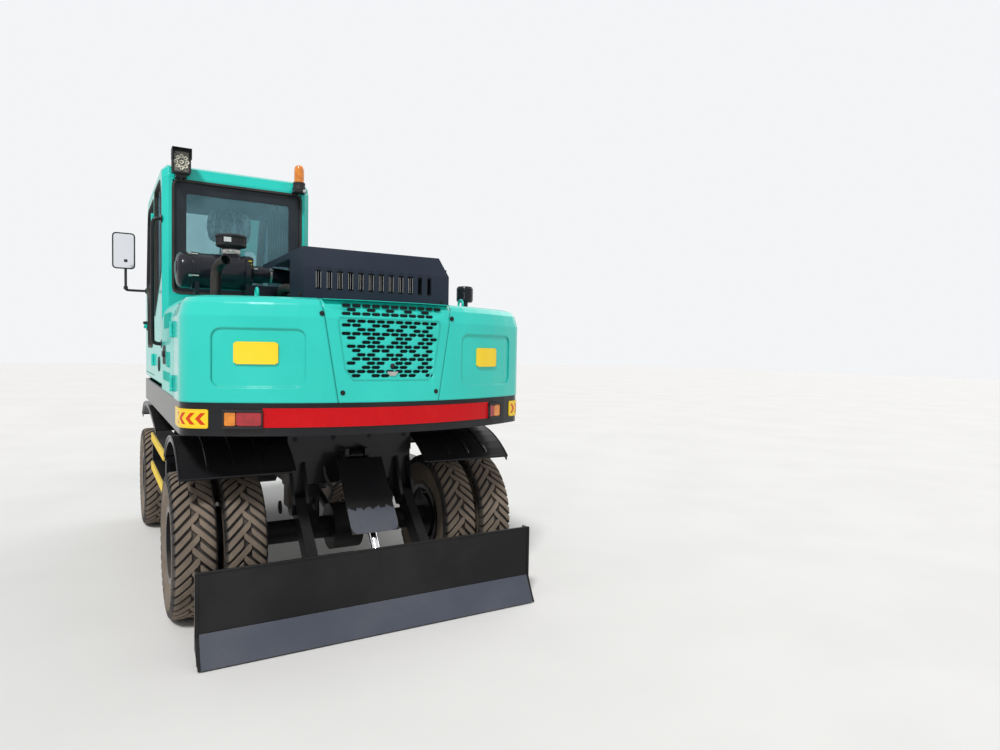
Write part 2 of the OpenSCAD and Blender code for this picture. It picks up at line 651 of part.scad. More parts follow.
// Cab
cab_right = cab_left - cab_w;
cab_outline = [[-cab_back, skirt_top], [-cab_back, cab_top - 90], [-cab_back + 25, cab_top - 25], [-cab_back + 90, cab_top],
    [1000, cab_top + 10], [1085, cab_top - 20], [1150, cab_top - 110], [1330, 2150], [1385, 1900], [1385, skirt_top]];
round_in = 38;
module cab_solid(inset) {
    hull() {
        across(cab_right + inset + round_in, cab_left - inset - round_in) offset(delta = -inset) polygon(cab_outline);
        across(cab_right + inset, cab_left - inset) offset(delta = -inset - round_in) polygon(cab_outline);
    }
}
left_door_outline = [[360, 1385], [360, 2760], [985, 2760], [1060, 2735], [1090, 2690], [1270, 2140], [1320, 1900], [1320, 1385]];
door_window = [[405, 1740], [560, 1595], [1050, 1595], [1120, 1980], [1225, 2120], [1080, 2600], [1040, 2680], [970, 2715], [405, 2715]];
quarter_window = [[300, 1815], [-310, 2110], [-290, 2620], [-200, 2735], [300, 2745]];
right_window = [[1180, 1960], [-310, 1960], [-290, 2620], [-200, 2735], [985, 2740], [1075, 2620], [1210, 2150]];
rear_window_z = [1960, 2712];
front_window_z = [1960, 2760];
front_lower_z = [1440, 1880];
window_side = 62;
module x_cut(z, x_from, x_to, gap) {
    block([x_from, cab_right + window_side + gap, z[0] + gap], [x_to, cab_left - window_side - gap, z[1] - gap]);
}
module cab_windows(gap) {
    across(cab_left - 200, cab_left + 50) offset(delta = -gap) polygon(quarter_window);
    across(cab_right - 50, cab_right + 200) offset(delta = -gap) polygon(right_window);
    x_cut(rear_window_z, -cab_back - 50, -cab_back + 120, gap);
    x_cut(front_window_z, 1010, 1450, gap);
    x_cut(front_lower_z, 1200, 1450, gap);
}
module cab_skin() {
    difference() {
        cab_solid(0);
        cab_solid(cab_wall);
    }
}
module cab_shell() color("#2cc9ae") {
    difference() {
        cab_skin();
        cab_windows(0);
        across(cab_left - cab_wall - 60, cab_left + 20) offset(delta = door_gap) polygon(left_door_outline);
    }
    for (z = cab_hinge_z) side_hinge_fixed(cab_hinge_x, cab_left, z);
}
cab_hinge_x = 352;
cab_hinge_z = [1500, 2550];
module cab_glass() color("#4b6a70") {
    mid = cab_wall / 2;
    across(cab_left - mid - glass_t, cab_left - mid) offset(delta = -pane_gap) polygon(quarter_window);
    across(cab_right + mid, cab_right + mid + glass_t) offset(delta = -pane_gap) polygon(right_window);
    intersection() {
        across(cab_right, cab_left) difference() {
            offset(delta = -mid) polygon(cab_outline);
            offset(delta = -mid - glass_t) polygon(cab_outline);
        }
        union() {
            x_cut(rear_window_z, -cab_back - 50, -cab_back + 120, pane_gap);
            x_cut(front_window_z, 1010, 1450, pane_gap);
            x_cut(front_lower_z, 1200, 1450, pane_gap);
        }
    }
}
module cab_door() color("#2cc9ae") {
    intersection() {
        difference() {
            across(cab_left - cab_wall, cab_left) polygon(left_door_outline);
            across(cab_left - 200, cab_left + 50) polygon(door_window);
        }
        cab_solid(0);
    }
    for (z = cab_hinge_z) side_hinge_moving(cab_hinge_x, cab_left, z);
    block([1150, cab_left, 1752], [1240, cab_left + 24, 1788]);
}
module cab_door_glass() color("#4b6a70") {
    mid = cab_wall / 2;
    across(cab_left - mid - glass_t, cab_left - mid) offset(delta = -pane_gap) polygon(door_window);
}
cab_floor = skirt_top + cab_wall;
seat_y = 560;
module seat() color("#4a4d50") {
    block([150, seat_y - 200, cab_floor], [560, seat_y + 200, cab_floor + 280]);
    block([100, seat_y - 230, cab_floor + 280], [600, seat_y + 230, cab_floor + 400]);
    across(seat_y - 210, seat_y + 210) polygon([[100, cab_floor + 400], [200, cab_floor + 400], [110, cab_floor + 960], [20, cab_floor + 960]]);
    across(seat_y - 120, seat_y + 120) polygon([[20, cab_floor + 950], [100, cab_floor + 950], [80, cab_floor + 1150], [10, cab_floor + 1150]]);
}
module controls() color("#2b2d31") {
    for (y = [seat_y - 350, seat_y + 250]) {
        block([130, y, cab_floor], [620, y + 100, cab_floor + 470]);
        translate([560, y + 50, cab_floor + 470]) cylinder(r = 16, h = 170);
        translate([560, y + 50, cab_floor + 640]) sphere(r = 28);
    }
    rod_xz(34, [1076, cab_floor + 14], [900, cab_floor + 620], seat_y);
    block([1020, seat_y - 60, cab_floor], [1130, seat_y + 60, cab_floor + 30]);
    translate([890, seat_y, cab_floor + 640]) rotate([0, -16, 0]) rotate_extrude() translate([170, 0]) circle(r = 14);
    translate([890, seat_y, cab_floor + 640]) rotate([0, -16, 0]) block([-12, -165, -8], [12, 165, 8]);
    translate([890, seat_y, cab_floor + 640]) rotate([0, -16, 0]) translate([0, 0, -50]) cylinder(r = 40, h = 60);
}

module lamps() color("#e08a1e") {
    rear = -cab_back;
    block([rear - 60, 900, 2714], [rear, 965, 2732]);
    block([rear - 95, 873, 2732], [rear - 20, 992, 2900]);
    block([rear - 90, beacon_y - 45, 2714], [rear, beacon_y + 45, 2732]);
    translate([rear - 45, beacon_y, 2732]) cylinder(r = 43, h = 56);
    translate([rear - 45, beacon_y, 2780]) cylinder(r = 35, h = 100);
    translate([rear - 45, beacon_y, 2880]) sphere(r = 34);
    for (k = tail_lamps) {
        tail_lamp(k[0], k[3], 0, 11);
        tail_lamp(k[0] + 6, k[1] - 1, 8, 15);
        tail_lamp(k[2] + 1, k[3] - 6, 8, 15);
    }
}
// Tail lamps on the skirt, across the machine: [end of the housing, seam, seam, end of the housing]
tail_lamps = [[667, 791, 791, 850], [-806, -743, -743, -693]];
module tail_lamp(y0, y1, edge, out) {
    translate([0, 0, skirt_bottom + 42 + edge]) linear_extrude(98 - 2 * edge) intersection() {
        difference() {
            polygon(body_plan(upper_front, 4 - out));
            polygon(body_plan(upper_front, 3.7));
        }
        translate([-tail_r - 50, y0]) square([tail_r, y1 - y0]);
    }
}
beacon_y = 163;
module side_mirror() color("#17181a") {
    block([1290, 1128, 2262], [1316, 1298, 2566]);
    rod_y(9, cab_left, 1205, mirror_stay[0], mirror_stay[1]);
    translate([mirror_stay[0], 1198, mirror_stay[1]]) cylinder(r = 9, h = 300);
}
mirror_stay = [1300, 2080];
// Lifting eyes: [x, y]
eye_places = [[540 - tail_r, body_half_w - 424], [540 - tail_r, 344 - body_half_w]];
eye_r = 22;
module lifting_eyes() color("#2cc9ae") {
    for (e = eye_places) difference() {
        union() {
            rod_y(eye_r + 14, e[1] - 11, e[1] + 11, e[0], body_top + eye_r + 16);
            block([e[0] - 20, e[1] - 11, body_top], [e[0] + 20, e[1] + 11, body_top + 14]);
        }
        rod_y(eye_r, e[1] - 20, e[1] + 20, e[0], body_top + eye_r + 16);
    }
}

// Digging arm: pivots as [x, z] with the arm hanging straight down
boom_foot = [1000, 1500];
boom_tip = [4450, 3000];
boom_base = [1340, 1215];
boom_eye = [2400, 2330];
stick_base = [2900, 3190];
stick_eye = [4380, 3390];
bucket_pin = [4480, 1340];
rocker_pin = [4500, 1640];
rocker_tip = [4830, 1660];
bucket_eye = [4770, 1310];
bucket_base = [4830, 2790];
fork_t = 34;
ear_half = 42;
boom_outline = [[930, 1560], [1300, 2120], [1850, 2640], [2330, 2950], [2750, 3070], [3300, 3085], [4250, 3095],
    [4290, 2890], [3400, 2790], [2760, 2690], [2280, 2480], [1680, 2010], [1060, 1470]];
fork_back = 4055;
module boom() color("#2cc9ae") {
    y0 = boom_y - boom_w / 2;
    y1 = boom_y + boom_w / 2;
    difference() {
        union() {
            across(y0, y1) polygon(boom_outline);
            rod_y(88, y0, y1, boom_foot[0], boom_foot[1]);
            for (y = [y0, y1 - fork_t]) across(y, y + fork_t) polygon(concat([[4200, 3095], [4200, 2880]], arc(boom_tip, 92, -80, 80, 10)));
            for (s = [-1, 1]) {
                across(boom_y + s * 56 - 12, boom_y + s * 56 + 12) polygon(concat([[2560, 2640], [2140, 2420]], arc(boom_eye, 58, 200, 330, 8)));
                lug = arm_cyl_r + side_gap;
                across(boom_y + s * (lug + 12) - 12, boom_y + s * (lug + 12) + 12) polygon([[2700, 3040], [2840, 3230], [2960, 3230], [3040, 3060]]);
            }
        }
        block([fork_back, y0 + fork_t, 2700], [4700, y1 - fork_t, 3300]);
        rod_y(pin_r + pin_play, y0 - 10, y1 + 10, boom_tip[0], boom_tip[1]);
        rod_y(pin_r + pin_play, boom_y - 90, boom_y + 90, stick_base[0], stick_base[1]);
    }
    for (s = [-1, 1]) rod_y(pin_r, boom_y + (s > 0 ? 60 : -78), boom_y + (s > 0 ? 78 : -60), boom_eye[0], boom_eye[1]);
    rod_y(pin_r, y0 - 34, y1 + 34, boom_foot[0], boom_foot[1]);
}
module boom_cylinder() color("#1b1c1f") cylinder_barrel(boom_base, boom_eye, boom_y, boom_cyl_r, 840, boom_w / 2 - 4);
module boom_rod() color("#d0d2d4") cylinder_rod(boom_base, boom_eye, boom_y, 470, 36);

module arm() color("#2cc9ae") {
    y0 = boom_y - stick_w / 2;
    y1 = boom_y + stick_w / 2;
    fork_half = boom_w / 2 - fork_t - slide_gap;
    difference() {
        union() {
            across(y0, y1) polygon([[4350, 3270], [4470, 3300], [4690, 3020], [4660, 2500], [4570, 1500], [4560, 1340], [4400, 1340],
                [4390, 1500], [4340, 2600], [4350, 2870]]);
            rod_y(85, boom_y - fork_half, boom_y + fork_half, boom_tip[0], boom_tip[1]);
            rod_y(66, y0, y1, bucket_pin[0], bucket_pin[1]);
            for (s = [-1, 1]) {
                across(boom_y + s * 56 - 12, boom_y + s * 56 + 12) polygon(concat([[4520, 3220], [4350, 3200]], arc(stick_eye, 52, 190, 20, 8)));
                lug = bucket_cyl_r + side_gap - 1;
                across(boom_y + s * (lug + 10) - 10, boom_y + s * (lug + 10) + 10) polygon([[4640, 3020], [4800, 2850], [4880, 2800], [4860, 2740], [4640, 2560]]);
            }
        }
        rod_y(pin_r + pin_play, boom_y - 90, boom_y + 90, bucket_pin[0], bucket_pin[1]);
        rod_y(pin_r + pin_play, boom_y - 90, boom_y + 90, rocker_pin[0], rocker_pin[1]);
        rod_y(pin_r + pin_play, boom_y - 90, boom_y + 90, bucket_base[0], bucket_base[1]);
    }
    for (s = [-1, 1]) rod_y(pin_r, boom_y + (s > 0 ? 60 : -78), boom_y + (s > 0 ? 78 : -60), stick_eye[0], stick_eye[1]);
    rod_y(pin_r, boom_y - boom_w / 2 - 8, boom_y + boom_w / 2 + 8, boom_tip[0], boom_tip[1]);
}
module arm_cylinder() color("#1b1c1f") cylinder_barrel(stick_base, stick_eye, boom_y, arm_cyl_r, 1060, 38);
module arm_rod() color("#d0d2d4") cylinder_rod(stick_base, stick_eye, boom_y, 460, 36);

bucket_curl = 35;
module bucket() color("#26282b") {
    half = bucket_w / 2;
    ear_in = stick_w / 2 + side_gap;
    outer = concat([[-70, -120], [-110, -900], [-80, -935]], arc([190, -600], 345, -80, 50, 12), [[190, -110]]);
    translate([bucket_pin[0], boom_y, bucket_pin[1]]) rotate([0, bucket_curl, 0]) {
        for (s = [-1, 1]) across(s > 0 ? half - bucket_t : -half, s > 0 ? half : -half + bucket_t) polygon(outer);
        difference() {
            across(-half, half) polygon(outer);
            across(-half - 1, half + 1) offset(delta = -bucket_t) polygon(concat([[-400, -60], [-400, -900], [-110, -920]],
                arc([190, -600], 345, -80, 50, 12), [[190, -110], [0, -100]]));
        }
        for (i = [0 : teeth - 1]) translate([0, (i - (teeth - 1) / 2) * (bucket_w - 90) / (teeth - 1), 0])
            across(-28, 28) polygon([[-60, -905], [-110, -890], [-250, -985], [-90, -940]]);
    }
    for (s = [-1, 1]) {
        across(boom_y + s * (ear_in + 12) - 12, boom_y + s * (ear_in + 12) + 12)
            polygon(concat(arc(bucket_pin, 66, 200, 60, 8), arc(bucket_eye, 52, 70, -60, 6),
                [bucket_pin + turn([190, -160], bucket_curl), bucket_pin + turn([-60, -160], bucket_curl)]));
        rod_y(pin_r, boom_y + (s > 0 ? ear_in + 12 : -ear_in - 34), boom_y + (s > 0 ? ear_in + 34 : -ear_in - 12), bucket_eye[0], bucket_eye[1]);
    }
    rod_y(pin_r, boom_y - ear_in - 24, boom_y + ear_in + 24, bucket_pin[0], bucket_pin[1]);
}
module bucket_cylinder() color("#1b1c1f") cylinder_barrel(bucket_base, rocker_tip, boom_y, bucket_cyl_r, 800, 38);
module bucket_rod() color("#d0d2d4") cylinder_rod(bucket_base, rocker_tip, boom_y, 310, 34);
rocker_y = stick_w / 2 + side_gap;
module bucket_rocker() color("#202225") {
    for (s = [-1, 1]) across(boom_y + s * (rocker_y + 10) - 10, boom_y + s * (rocker_y + 10) + 10)
        polygon(concat(arc(rocker_pin, 52, 90, 270, 8), arc(rocker_tip, 46, -90, 90, 8)));
    rod_y(pin_r, boom_y - rocker_y - 20, boom_y + rocker_y + 20, rocker_pin[0], rocker_pin[1]);
    for (s = [-1, 1]) rod_y(pin_r - 4, boom_y + (s > 0 ? ear_half : -rocker_y - 20), boom_y + (s > 0 ? rocker_y + 20 : -ear_half), rocker_tip[0], rocker_tip[1]);
}
module bucket_link() color("#202225") {
    link_out = stick_w / 2 - 2;
    difference() {
        for (s = [-1, 1]) across(boom_y + (s > 0 ? ear_half : -link_out), boom_y + (s > 0 ? link_out : -ear_half))
            polygon(concat(arc(rocker_tip, 44, 10, 190, 8), arc(bucket_eye, 44, 190, 370, 8)));
        rod_y(pin_r - 4 + pin_play, boom_y - 90, boom_y + 90, rocker_tip[0], rocker_tip[1]);
    }
    block([4760, boom_y - ear_half, 1400], [4840, boom_y + ear_half, 1500]);
}

// Every node by its name
chassis_frame();
rear_axle();
front_axle();
drive_line();
slewing_ring();
fenders();
step_frames();
step_treads();
knuckle_left();
knuckle_right();
tyres_front_left();
tyres_front_right();
tyres_rear_left();
tyres_rear_right();
wheel_front_left();
wheel_front_right();
wheel_rear_left();
wheel_rear_right();
blade();
blade_cylinder();
blade_rod();
upper_frame();
counterweight();
rear_grille_panel();
engine_deck();
engine_block();
fuel_tank();
engine_hood();
side_door_left();
side_door_right();
air_cleaner();
exhaust_pipe();
cab_shell();
cab_glass();
cab_door();
cab_door_glass();
seat();
controls();
lamps();
side_mirror();
lifting_eyes();
boom();
boom_cylinder();
boom_rod();
arm();
arm_cylinder();
arm_rod();
bucket();
bucket_cylinder();
bucket_rod();
bucket_rocker();
bucket_link();
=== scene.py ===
# Wheeled excavator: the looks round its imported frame. Metres, X forward, Y left, Z up, ground at 0.
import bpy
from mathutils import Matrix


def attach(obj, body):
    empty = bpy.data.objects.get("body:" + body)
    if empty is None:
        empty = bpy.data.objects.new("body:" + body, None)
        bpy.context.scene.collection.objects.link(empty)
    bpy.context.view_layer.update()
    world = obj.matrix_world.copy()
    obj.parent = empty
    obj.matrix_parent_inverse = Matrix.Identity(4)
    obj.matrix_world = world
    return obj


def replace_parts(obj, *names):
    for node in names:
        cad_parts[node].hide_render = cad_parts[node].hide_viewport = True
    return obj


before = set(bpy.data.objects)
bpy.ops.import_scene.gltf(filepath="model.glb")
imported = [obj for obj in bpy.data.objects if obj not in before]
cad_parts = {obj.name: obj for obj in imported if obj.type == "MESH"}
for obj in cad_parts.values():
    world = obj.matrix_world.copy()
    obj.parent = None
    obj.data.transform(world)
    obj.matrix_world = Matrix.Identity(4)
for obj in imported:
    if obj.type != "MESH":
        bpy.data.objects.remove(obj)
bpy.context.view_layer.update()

from math import asin, atan2, cos, dist, pi, radians, sin, sqrt

import bmesh
import bpy
from mathutils import Matrix, Vector
from mathutils.bvhtree import BVHTree

print("frame loaded:", len(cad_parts), "nodes")


# Sockets that add up like numbers, for materials and for geometry rules
class Wire:
    def __init__(self, board, socket):
        self.board = board
        self.socket = socket

    def maths(self, operation, *others, flip=False):
        terms = [*others, self] if flip else [self, *others]
        return self.board.add("ShaderNodeMath", {"operation": operation}, dict(enumerate(terms)))

    def __abs__(self):
        return self.maths("ABSOLUTE")

    def floor(self):
        return self.maths("FLOOR")

    def most(self, other):
        return self.maths("MAXIMUM", other)

    def least(self, other):
        return self.maths("MINIMUM", other)

    def clamp(self):
        return self.board.add("ShaderNodeClamp", None, {"Value": self})

    def smooth(self, low, high):
        values = {"Value": self, "From Min": low, "From Max": high}
        return self.board.add("ShaderNodeMapRange", {"interpolation_type": "SMOOTHSTEP"}, values)

    def xyz(self):
        node = self.board.add("ShaderNodeSeparateXYZ", None, {"Vector": self}).socket.node
        return [Wire(self.board, out) for out in node.outputs]


signsOfMaths = {"add": "ADD", "sub": "SUBTRACT", "mul": "MULTIPLY", "truediv": "DIVIDE", "pow": "POWER",
                "mod": "FLOORED_MODULO", "gt": "GREATER_THAN", "lt": "LESS_THAN"}
for word, operation in signsOfMaths.items():
    setattr(Wire, "__" + word + "__", lambda self, other, kind=operation: self.maths(kind, other))
for word in ("add", "sub", "mul", "truediv"):
    setattr(Wire, "__r" + word + "__",
            lambda self, other, kind=signsOfMaths[word]: self.maths(kind, other, flip=True))


class Board:
    def __init__(self, tree):
        self.tree = tree

    def add(self, kind, settings=None, values=None, out=0):
        node = self.tree.nodes.new(kind)
        for key, value in (settings or {}).items():
            setattr(node, key, value)
        for key, value in (values or {}).items():
            if isinstance(value, Wire):
                self.tree.links.new(value.socket, node.inputs[key])
            elif value is not None:
                node.inputs[key].default_value = value
        return Wire(self, node.outputs[out])

    def end(self, kind, wire):
        self.tree.links.new(wire.socket, self.tree.nodes.new(kind).inputs[0])

    def scaled(self, vector, scale):
        return self.add("ShaderNodeVectorMath", {"operation": "MULTIPLY"}, {0: vector, 1: scale})

    def vector(self, x=0.0, y=0.0, z=0.0):
        return self.add("ShaderNodeCombineXYZ", None, {"X": x, "Y": y, "Z": z})

    def noise(self, where, scale, detail=3.0, rough=0.55):
        values = {"Vector": where, "Scale": scale, "Detail": detail, "Roughness": rough}
        return self.add("ShaderNodeTexNoise", None, values)

    def cells(self, where, scale, feature="F1"):
        return self.add("ShaderNodeTexVoronoi", {"feature": feature}, {"Vector": where, "Scale": scale})

    def mix(self, amount, first, second):
        return self.add("ShaderNodeMix", {"data_type": "RGBA"}, {0: amount, 6: first, 7: second}, 2)

    def upward(self):
        return self.add("ShaderNodeNewGeometry", None, None, 1).xyz()[2]

    def bevel(self, radius):
        return self.add("ShaderNodeBevel", {"samples": 4}, {"Radius": radius})

    def edge(self, rounded):
        flat = self.add("ShaderNodeNewGeometry", None, None, 1)
        along = self.add("ShaderNodeVectorMath", {"operation": "DOT_PRODUCT"}, {0: rounded, 1: flat}, 1)
        return along.smooth(0.995, 0.86)

    def bump(self, height, distance, strength=1.0, normal=None):
        values = {"Height": height, "Distance": distance, "Strength": strength, "Normal": normal}
        return self.add("ShaderNodeBump", None, values)


finishes = {}
inputNames = {"metal": "Metallic", "coat": "Coat Weight", "coatRough": "Coat Roughness",
              "glow": "Transmission Weight", "shine": "Specular IOR Level", "sheen": "Sheen Weight"}


def newBoard(name):
    material = bpy.data.materials.new(name)
    material.use_nodes = True
    material.node_tree.nodes.clear()
    finishes[name] = material
    board = Board(material.node_tree)
    return board, board.add("ShaderNodeTexCoord", None, None, 3)


def seal(board, skin, rough, normal=None, **more):
    values = {"Base Color": skin, "Roughness": rough, "Normal": normal}
    values.update({inputNames[key]: value for key, value in more.items()})
    board.end("ShaderNodeOutputMaterial", board.add("ShaderNodeBsdfPrincipled", None, values))


def lighter(colour, times, plus=0.0):
    return tuple(c * times + plus for c in colour[:3]) + (1,)


dustColour = (0.42, 0.36, 0.29, 1)


def painted(name, colour, rough, coat=0.0, dust=0.2, wear=0.0, orange=0.00004, radius=0.003,
            under=(0.075, 0.073, 0.07, 1), shine=0.35):
    b, here = newBoard(name)
    broad = b.noise(here, 1.7, 4)
    fine = b.noise(here, 45, 4)
    rounded = b.bevel(radius)
    dusty = (b.upward().smooth(0.25, 1.0) * 0.7 + broad.smooth(0.42, 0.72) * 0.45) * (0.35 + fine * 0.9)
    skin = b.mix(broad.smooth(0.3, 0.7), colour, lighter(colour, 1.12, 0.004))
    if wear:
        skin = b.mix((b.edge(rounded) * fine.smooth(0.5, 0.62) * wear).clamp(), skin, under)
    veil = (dusty * dust).clamp()
    seal(b, b.mix(veil, skin, dustColour), (rough + veil * 0.5 + fine * 0.05).clamp(),
         b.bump(b.noise(here, 240, 2), orange, 1.0, rounded), coat=coat, coatRough=0.04, shine=shine)


def plastic(name, colour, rough=0.55, grain=0.0002, scale=900, dust=0.15, shine=0.3):
    b, here = newBoard(name)
    cloud = b.noise(here, 5, 3)
    veil = (b.upward().smooth(0.2, 1.0) * cloud.smooth(0.35, 0.7) * dust + cloud * dust * 0.3).clamp()
    skin = b.mix(cloud.smooth(0.3, 0.7), colour, lighter(colour, 1.25, 0.003))
    seal(b, b.mix(veil, skin, dustColour), (cloud * 0.12 + rough + veil * 0.4).clamp(),
         b.bump(b.cells(here, scale), grain, 0.6, b.bevel(0.002)), shine=shine)


def bareMetal(name, colour, rough, stripes=0.0, stain=(0.2, 0.12, 0.07, 1), stained=0.0):
    b, here = newBoard(name)
    cloud = b.noise(here, 9, 4)
    brushed = b.noise(b.scaled(here, (60, 900, 60)), 1, 2)
    mask = (cloud.smooth(0.45, 0.75) * stained).clamp()
    seal(b, b.mix(mask, colour, stain), (rough + cloud * 0.12 + mask * 0.4).clamp(),
         b.bump(brushed, 0.00006 * stripes + 0.000001, 1.0, b.bevel(0.002)), metal=1 - mask * 0.8)


def clearLens(name, colour, rough, ribs, glow):
    b, here = newBoard(name)
    y, z = here.xyz()[1:]
    lines = (y * (ribs * 2 * pi)).maths("SINE") * 0.5 + (z * (ribs * 2 * pi)).maths("SINE") * 0.5
    cloud = b.noise(here, 30, 2)
    bright = tuple(min(1.0, c) for c in lighter(colour, 1.3))
    seal(b, b.mix(cloud.smooth(0.35, 0.65), colour, bright), cloud * 0.08 + rough, b.bump(lines, 0.0006),
         coat=0.6, glow=glow)


# painted: colour, roughness, coat, dust, wear, ripple, edge radius, colour under chips
# plastic: colour, roughness, grain, its scale and dust
# bareMetal: colour, roughness, brushing, stain and how much of it
# clearLens: colour, roughness, ribs a metre, light let through
teal = (0.008, 0.53, 0.445, 1)
painted("tealPaint", teal, 0.27, 0.22, 0.04, 0.0, 0.00003, 0.006, shine=0.25)
painted("blackPaint", (0.0065, 0.007, 0.009, 1), 0.26, 0.14, 0.03, 0.1, 0.00006, shine=0.2)
painted("bladePaint", (0.0085, 0.0085, 0.0095, 1), 0.34, 0.04, 0.035, 0.5, 0.00008, shine=0.16)
painted("bucketPaint", (0.016, 0.017, 0.02, 1), 0.36, 0.1, 0.25, 1.0, 0.0001)
painted("hoodPaint", (0.0175, 0.024, 0.039, 1), 0.4, 0.02, 0.02, 0.1, 0.00012, shine=0.15)
painted("rimPaint", (0.01, 0.01, 0.012, 1), 0.26, 0.2, 0.25, 0.2, 0.00004, shine=0.25)
painted("treadYellow", (0.8, 0.56, 0.02, 1), 0.42, 0.1, 0.3, 0.4, 0.00006)
painted("lipSteel", (0.054, 0.062, 0.083, 1), 0.38, 0.0, 0.1, 0.7, 0.00012, 0.003, (0.26, 0.25, 0.24, 1), 0.2)
painted("castIron", (0.01, 0.0105, 0.0125, 1), 0.46, 0.0, 0.09, 0.1, 0.0006, shine=0.2)
painted("labelYellow", (0.86, 0.6, 0.01, 1), 0.35, 0.2, 0.08)
painted("drumBlack", (0.0075, 0.009, 0.0145, 1), 0.2, 0.14, 0.02, 0.05, 0.00005, shine=0.22)
bareMetal("chromeRod", (0.78, 0.78, 0.8, 1), 0.07)
bareMetal("zincSteel", (0.55, 0.54, 0.52, 1), 0.32, 1.0, (0.3, 0.25, 0.18, 1), 0.3)
bareMetal("pipeSteel", (0.05, 0.046, 0.043, 1), 0.42, 0.0, (0.075, 0.055, 0.045, 1), 0.5)
bareMetal("mirrorFace", (0.86, 0.88, 0.9, 1), 0.02)
plastic("cabPlastic", (0.014, 0.0145, 0.0165, 1), 0.5, dust=0.07)
# the curtain's pale grey is partly its own tone and partly painted light for the shaded cab
plastic("curtainClothAndPaintedLight", (0.42, 0.49, 0.51, 1), 0.85, 0.0004, 1400, 0.05)
plastic("blackRubber", (0.016, 0.016, 0.017, 1), 0.62, 0.0003, 500, 0.3)
plastic("frameBlack", (0.017, 0.023, 0.03, 1), 0.16, 0.00001, 500, 0.02, shine=0.22)
plastic("deepShade", (0.003, 0.0032, 0.004, 1), 0.7, 0.0001, 500, 0.02, shine=0.05)
plastic("hoseRubber", (0.014, 0.014, 0.015, 1), 0.5, 0.0002, 700, 0.35)
plastic("reflectorGrey", (0.17, 0.165, 0.15, 1), 0.3, 0.0001, 600, 0.05)
# pale plastic for the work lamp's bowls: a painted reflection of light in the unlit lamp
plastic("lampPaintedGlint", (0.86, 0.83, 0.7, 1), 0.18, 0.0001, 900, 0.03)
plastic("blankWhite", (0.62, 0.63, 0.62, 1), 0.35, 0.0001, 700, 0.05)
clearLens("amberLens", (0.8, 0.235, 0.006, 1), 0.12, 90, 0.25)
clearLens("redLens", (0.33, 0.004, 0.01, 1), 0.12, 90, 0.1)
clearLens("clearLens", (0.85, 0.86, 0.84, 1), 0.08, 120, 0.5)


def tyreRubber(b, here):
    # distance from the middle of either axle; the grooves get less dust colour, a painted shade in them, so
    # they stay darker than the bars
    x, z = here.xyz()[::2]
    off = abs(x - 0.242) - 1.222
    up = z - 0.43
    reach = (off * off + up * up) ** 0.5
    grooveShade = reach.smooth(0.425, 0.413) * (reach > 0.375)
    grit = b.noise(here, 260, 4)
    rounded = b.bevel(0.004)
    dusty = b.noise(here, 6, 5).smooth(0.25, 0.75) * 0.45 + 0.52 - b.edge(rounded) * 0.3 + grit * 0.18
    # the dust is cut back in the grooves: painted shade, leaving them near the dark rubber
    dusty = (dusty - grooveShade * 0.75).clamp()
    seal(b, b.mix(dusty, (0.018, 0.016, 0.015, 1), (0.205, 0.16, 0.12, 1)), dusty * 0.25 + 0.68,
         b.bump(grit, 0.0009, 0.8, rounded))


def tealSkin(b, here, amount):
    # thin dust on teal, and the roughness that goes with it
    broad = b.noise(here, 1.7, 4)
    fine = b.noise(here, 45, 4)
    upper = b.upward().smooth(0.3, 1.0) * 0.6 + broad.smooth(0.45, 0.75) * 0.4
    veil = (upper * amount * (fine + 0.4)).clamp()
    skin = b.mix(broad.smooth(0.3, 0.7), teal, lighter(teal, 1.1))
    return b.mix(veil, skin, dustColour), veil * 0.5 + 0.2 + fine * 0.05, fine


def cabPaint(b, here):
    # teal outside, grey trim on the faces turned to the driver; the grey is lightened past its own tone to
    # stand in for light inside the closed cab, partly painted light
    x, y, z = here.xyz()
    front = (1.15 + (2.712 - z) * 0.3203).least(1.385) - 0.03
    inside = (y > 0.104) * (y < 1.01) * (z < 2.795) * (z > 1.33) * (x > -0.35) * (front > x)
    skin, rough, fine = tealSkin(b, here, 0.06)
    trimAndPaintedLight = b.mix(fine, (0.27, 0.31, 0.32, 1), (0.34, 0.37, 0.38, 1))
    grain = b.cells(here, 700) * inside + b.noise(here, 240, 2) * 0.3
    seal(b, b.mix(inside, skin, trimAndPaintedLight), (rough + inside * 0.4).clamp(),
         b.bump(grain, 0.00012, 1.0, b.bevel(0.006)), coat=0.25 - inside * 0.25, coatRough=0.04, shine=0.28)


def tailPaint(b, here):
    skin, rough = tealSkin(b, here, 0.04)[:2]
    seal(b, skin, rough.clamp(), b.bump(b.noise(here, 240, 2), 0.00003, 1.0, b.bevel(0.015)),
         coat=0.45, coatRough=0.04, shine=0.35)


def tintedPane(b, here):
    smear = b.noise(here, 3.5, 5).smooth(0.35, 0.75)
    see = b.add("ShaderNodeBsdfTransparent", None, {"Color": (0.84, 0.97, 0.98, 1)})
    values = {"Base Color": (0.24, 0.46, 0.54, 1), "Roughness": smear * 0.1 + 0.03}
    gloss = b.add("ShaderNodeBsdfPrincipled", None, values)
    amount = (b.add("ShaderNodeFresnel", None, {"IOR": 1.5}) * 0.85 + smear * 0.1 + 0.19).clamp()
    b.end("ShaderNodeOutputMaterial", b.add("ShaderNodeMixShader", None, {0: amount, 1: see, 2: gloss}))


def redTape(b, here):
    cells = b.cells(here, 210, "DISTANCE_TO_EDGE")
    wave = b.noise(here, 7, 3)
    skin = b.mix(cells.smooth(0.02, 0.09), (0.36, 0.002, 0.004, 1), (0.6, 0.003, 0.007, 1))
    skin = b.mix((wave.smooth(0.5, 0.75) * 0.2).clamp(), skin, (0.72, 0.02, 0.02, 1))
    seal(b, skin, wave * 0.12 + 0.22, b.bump(cells, 0.0003, 0.5), coat=0.1, shine=0.12)


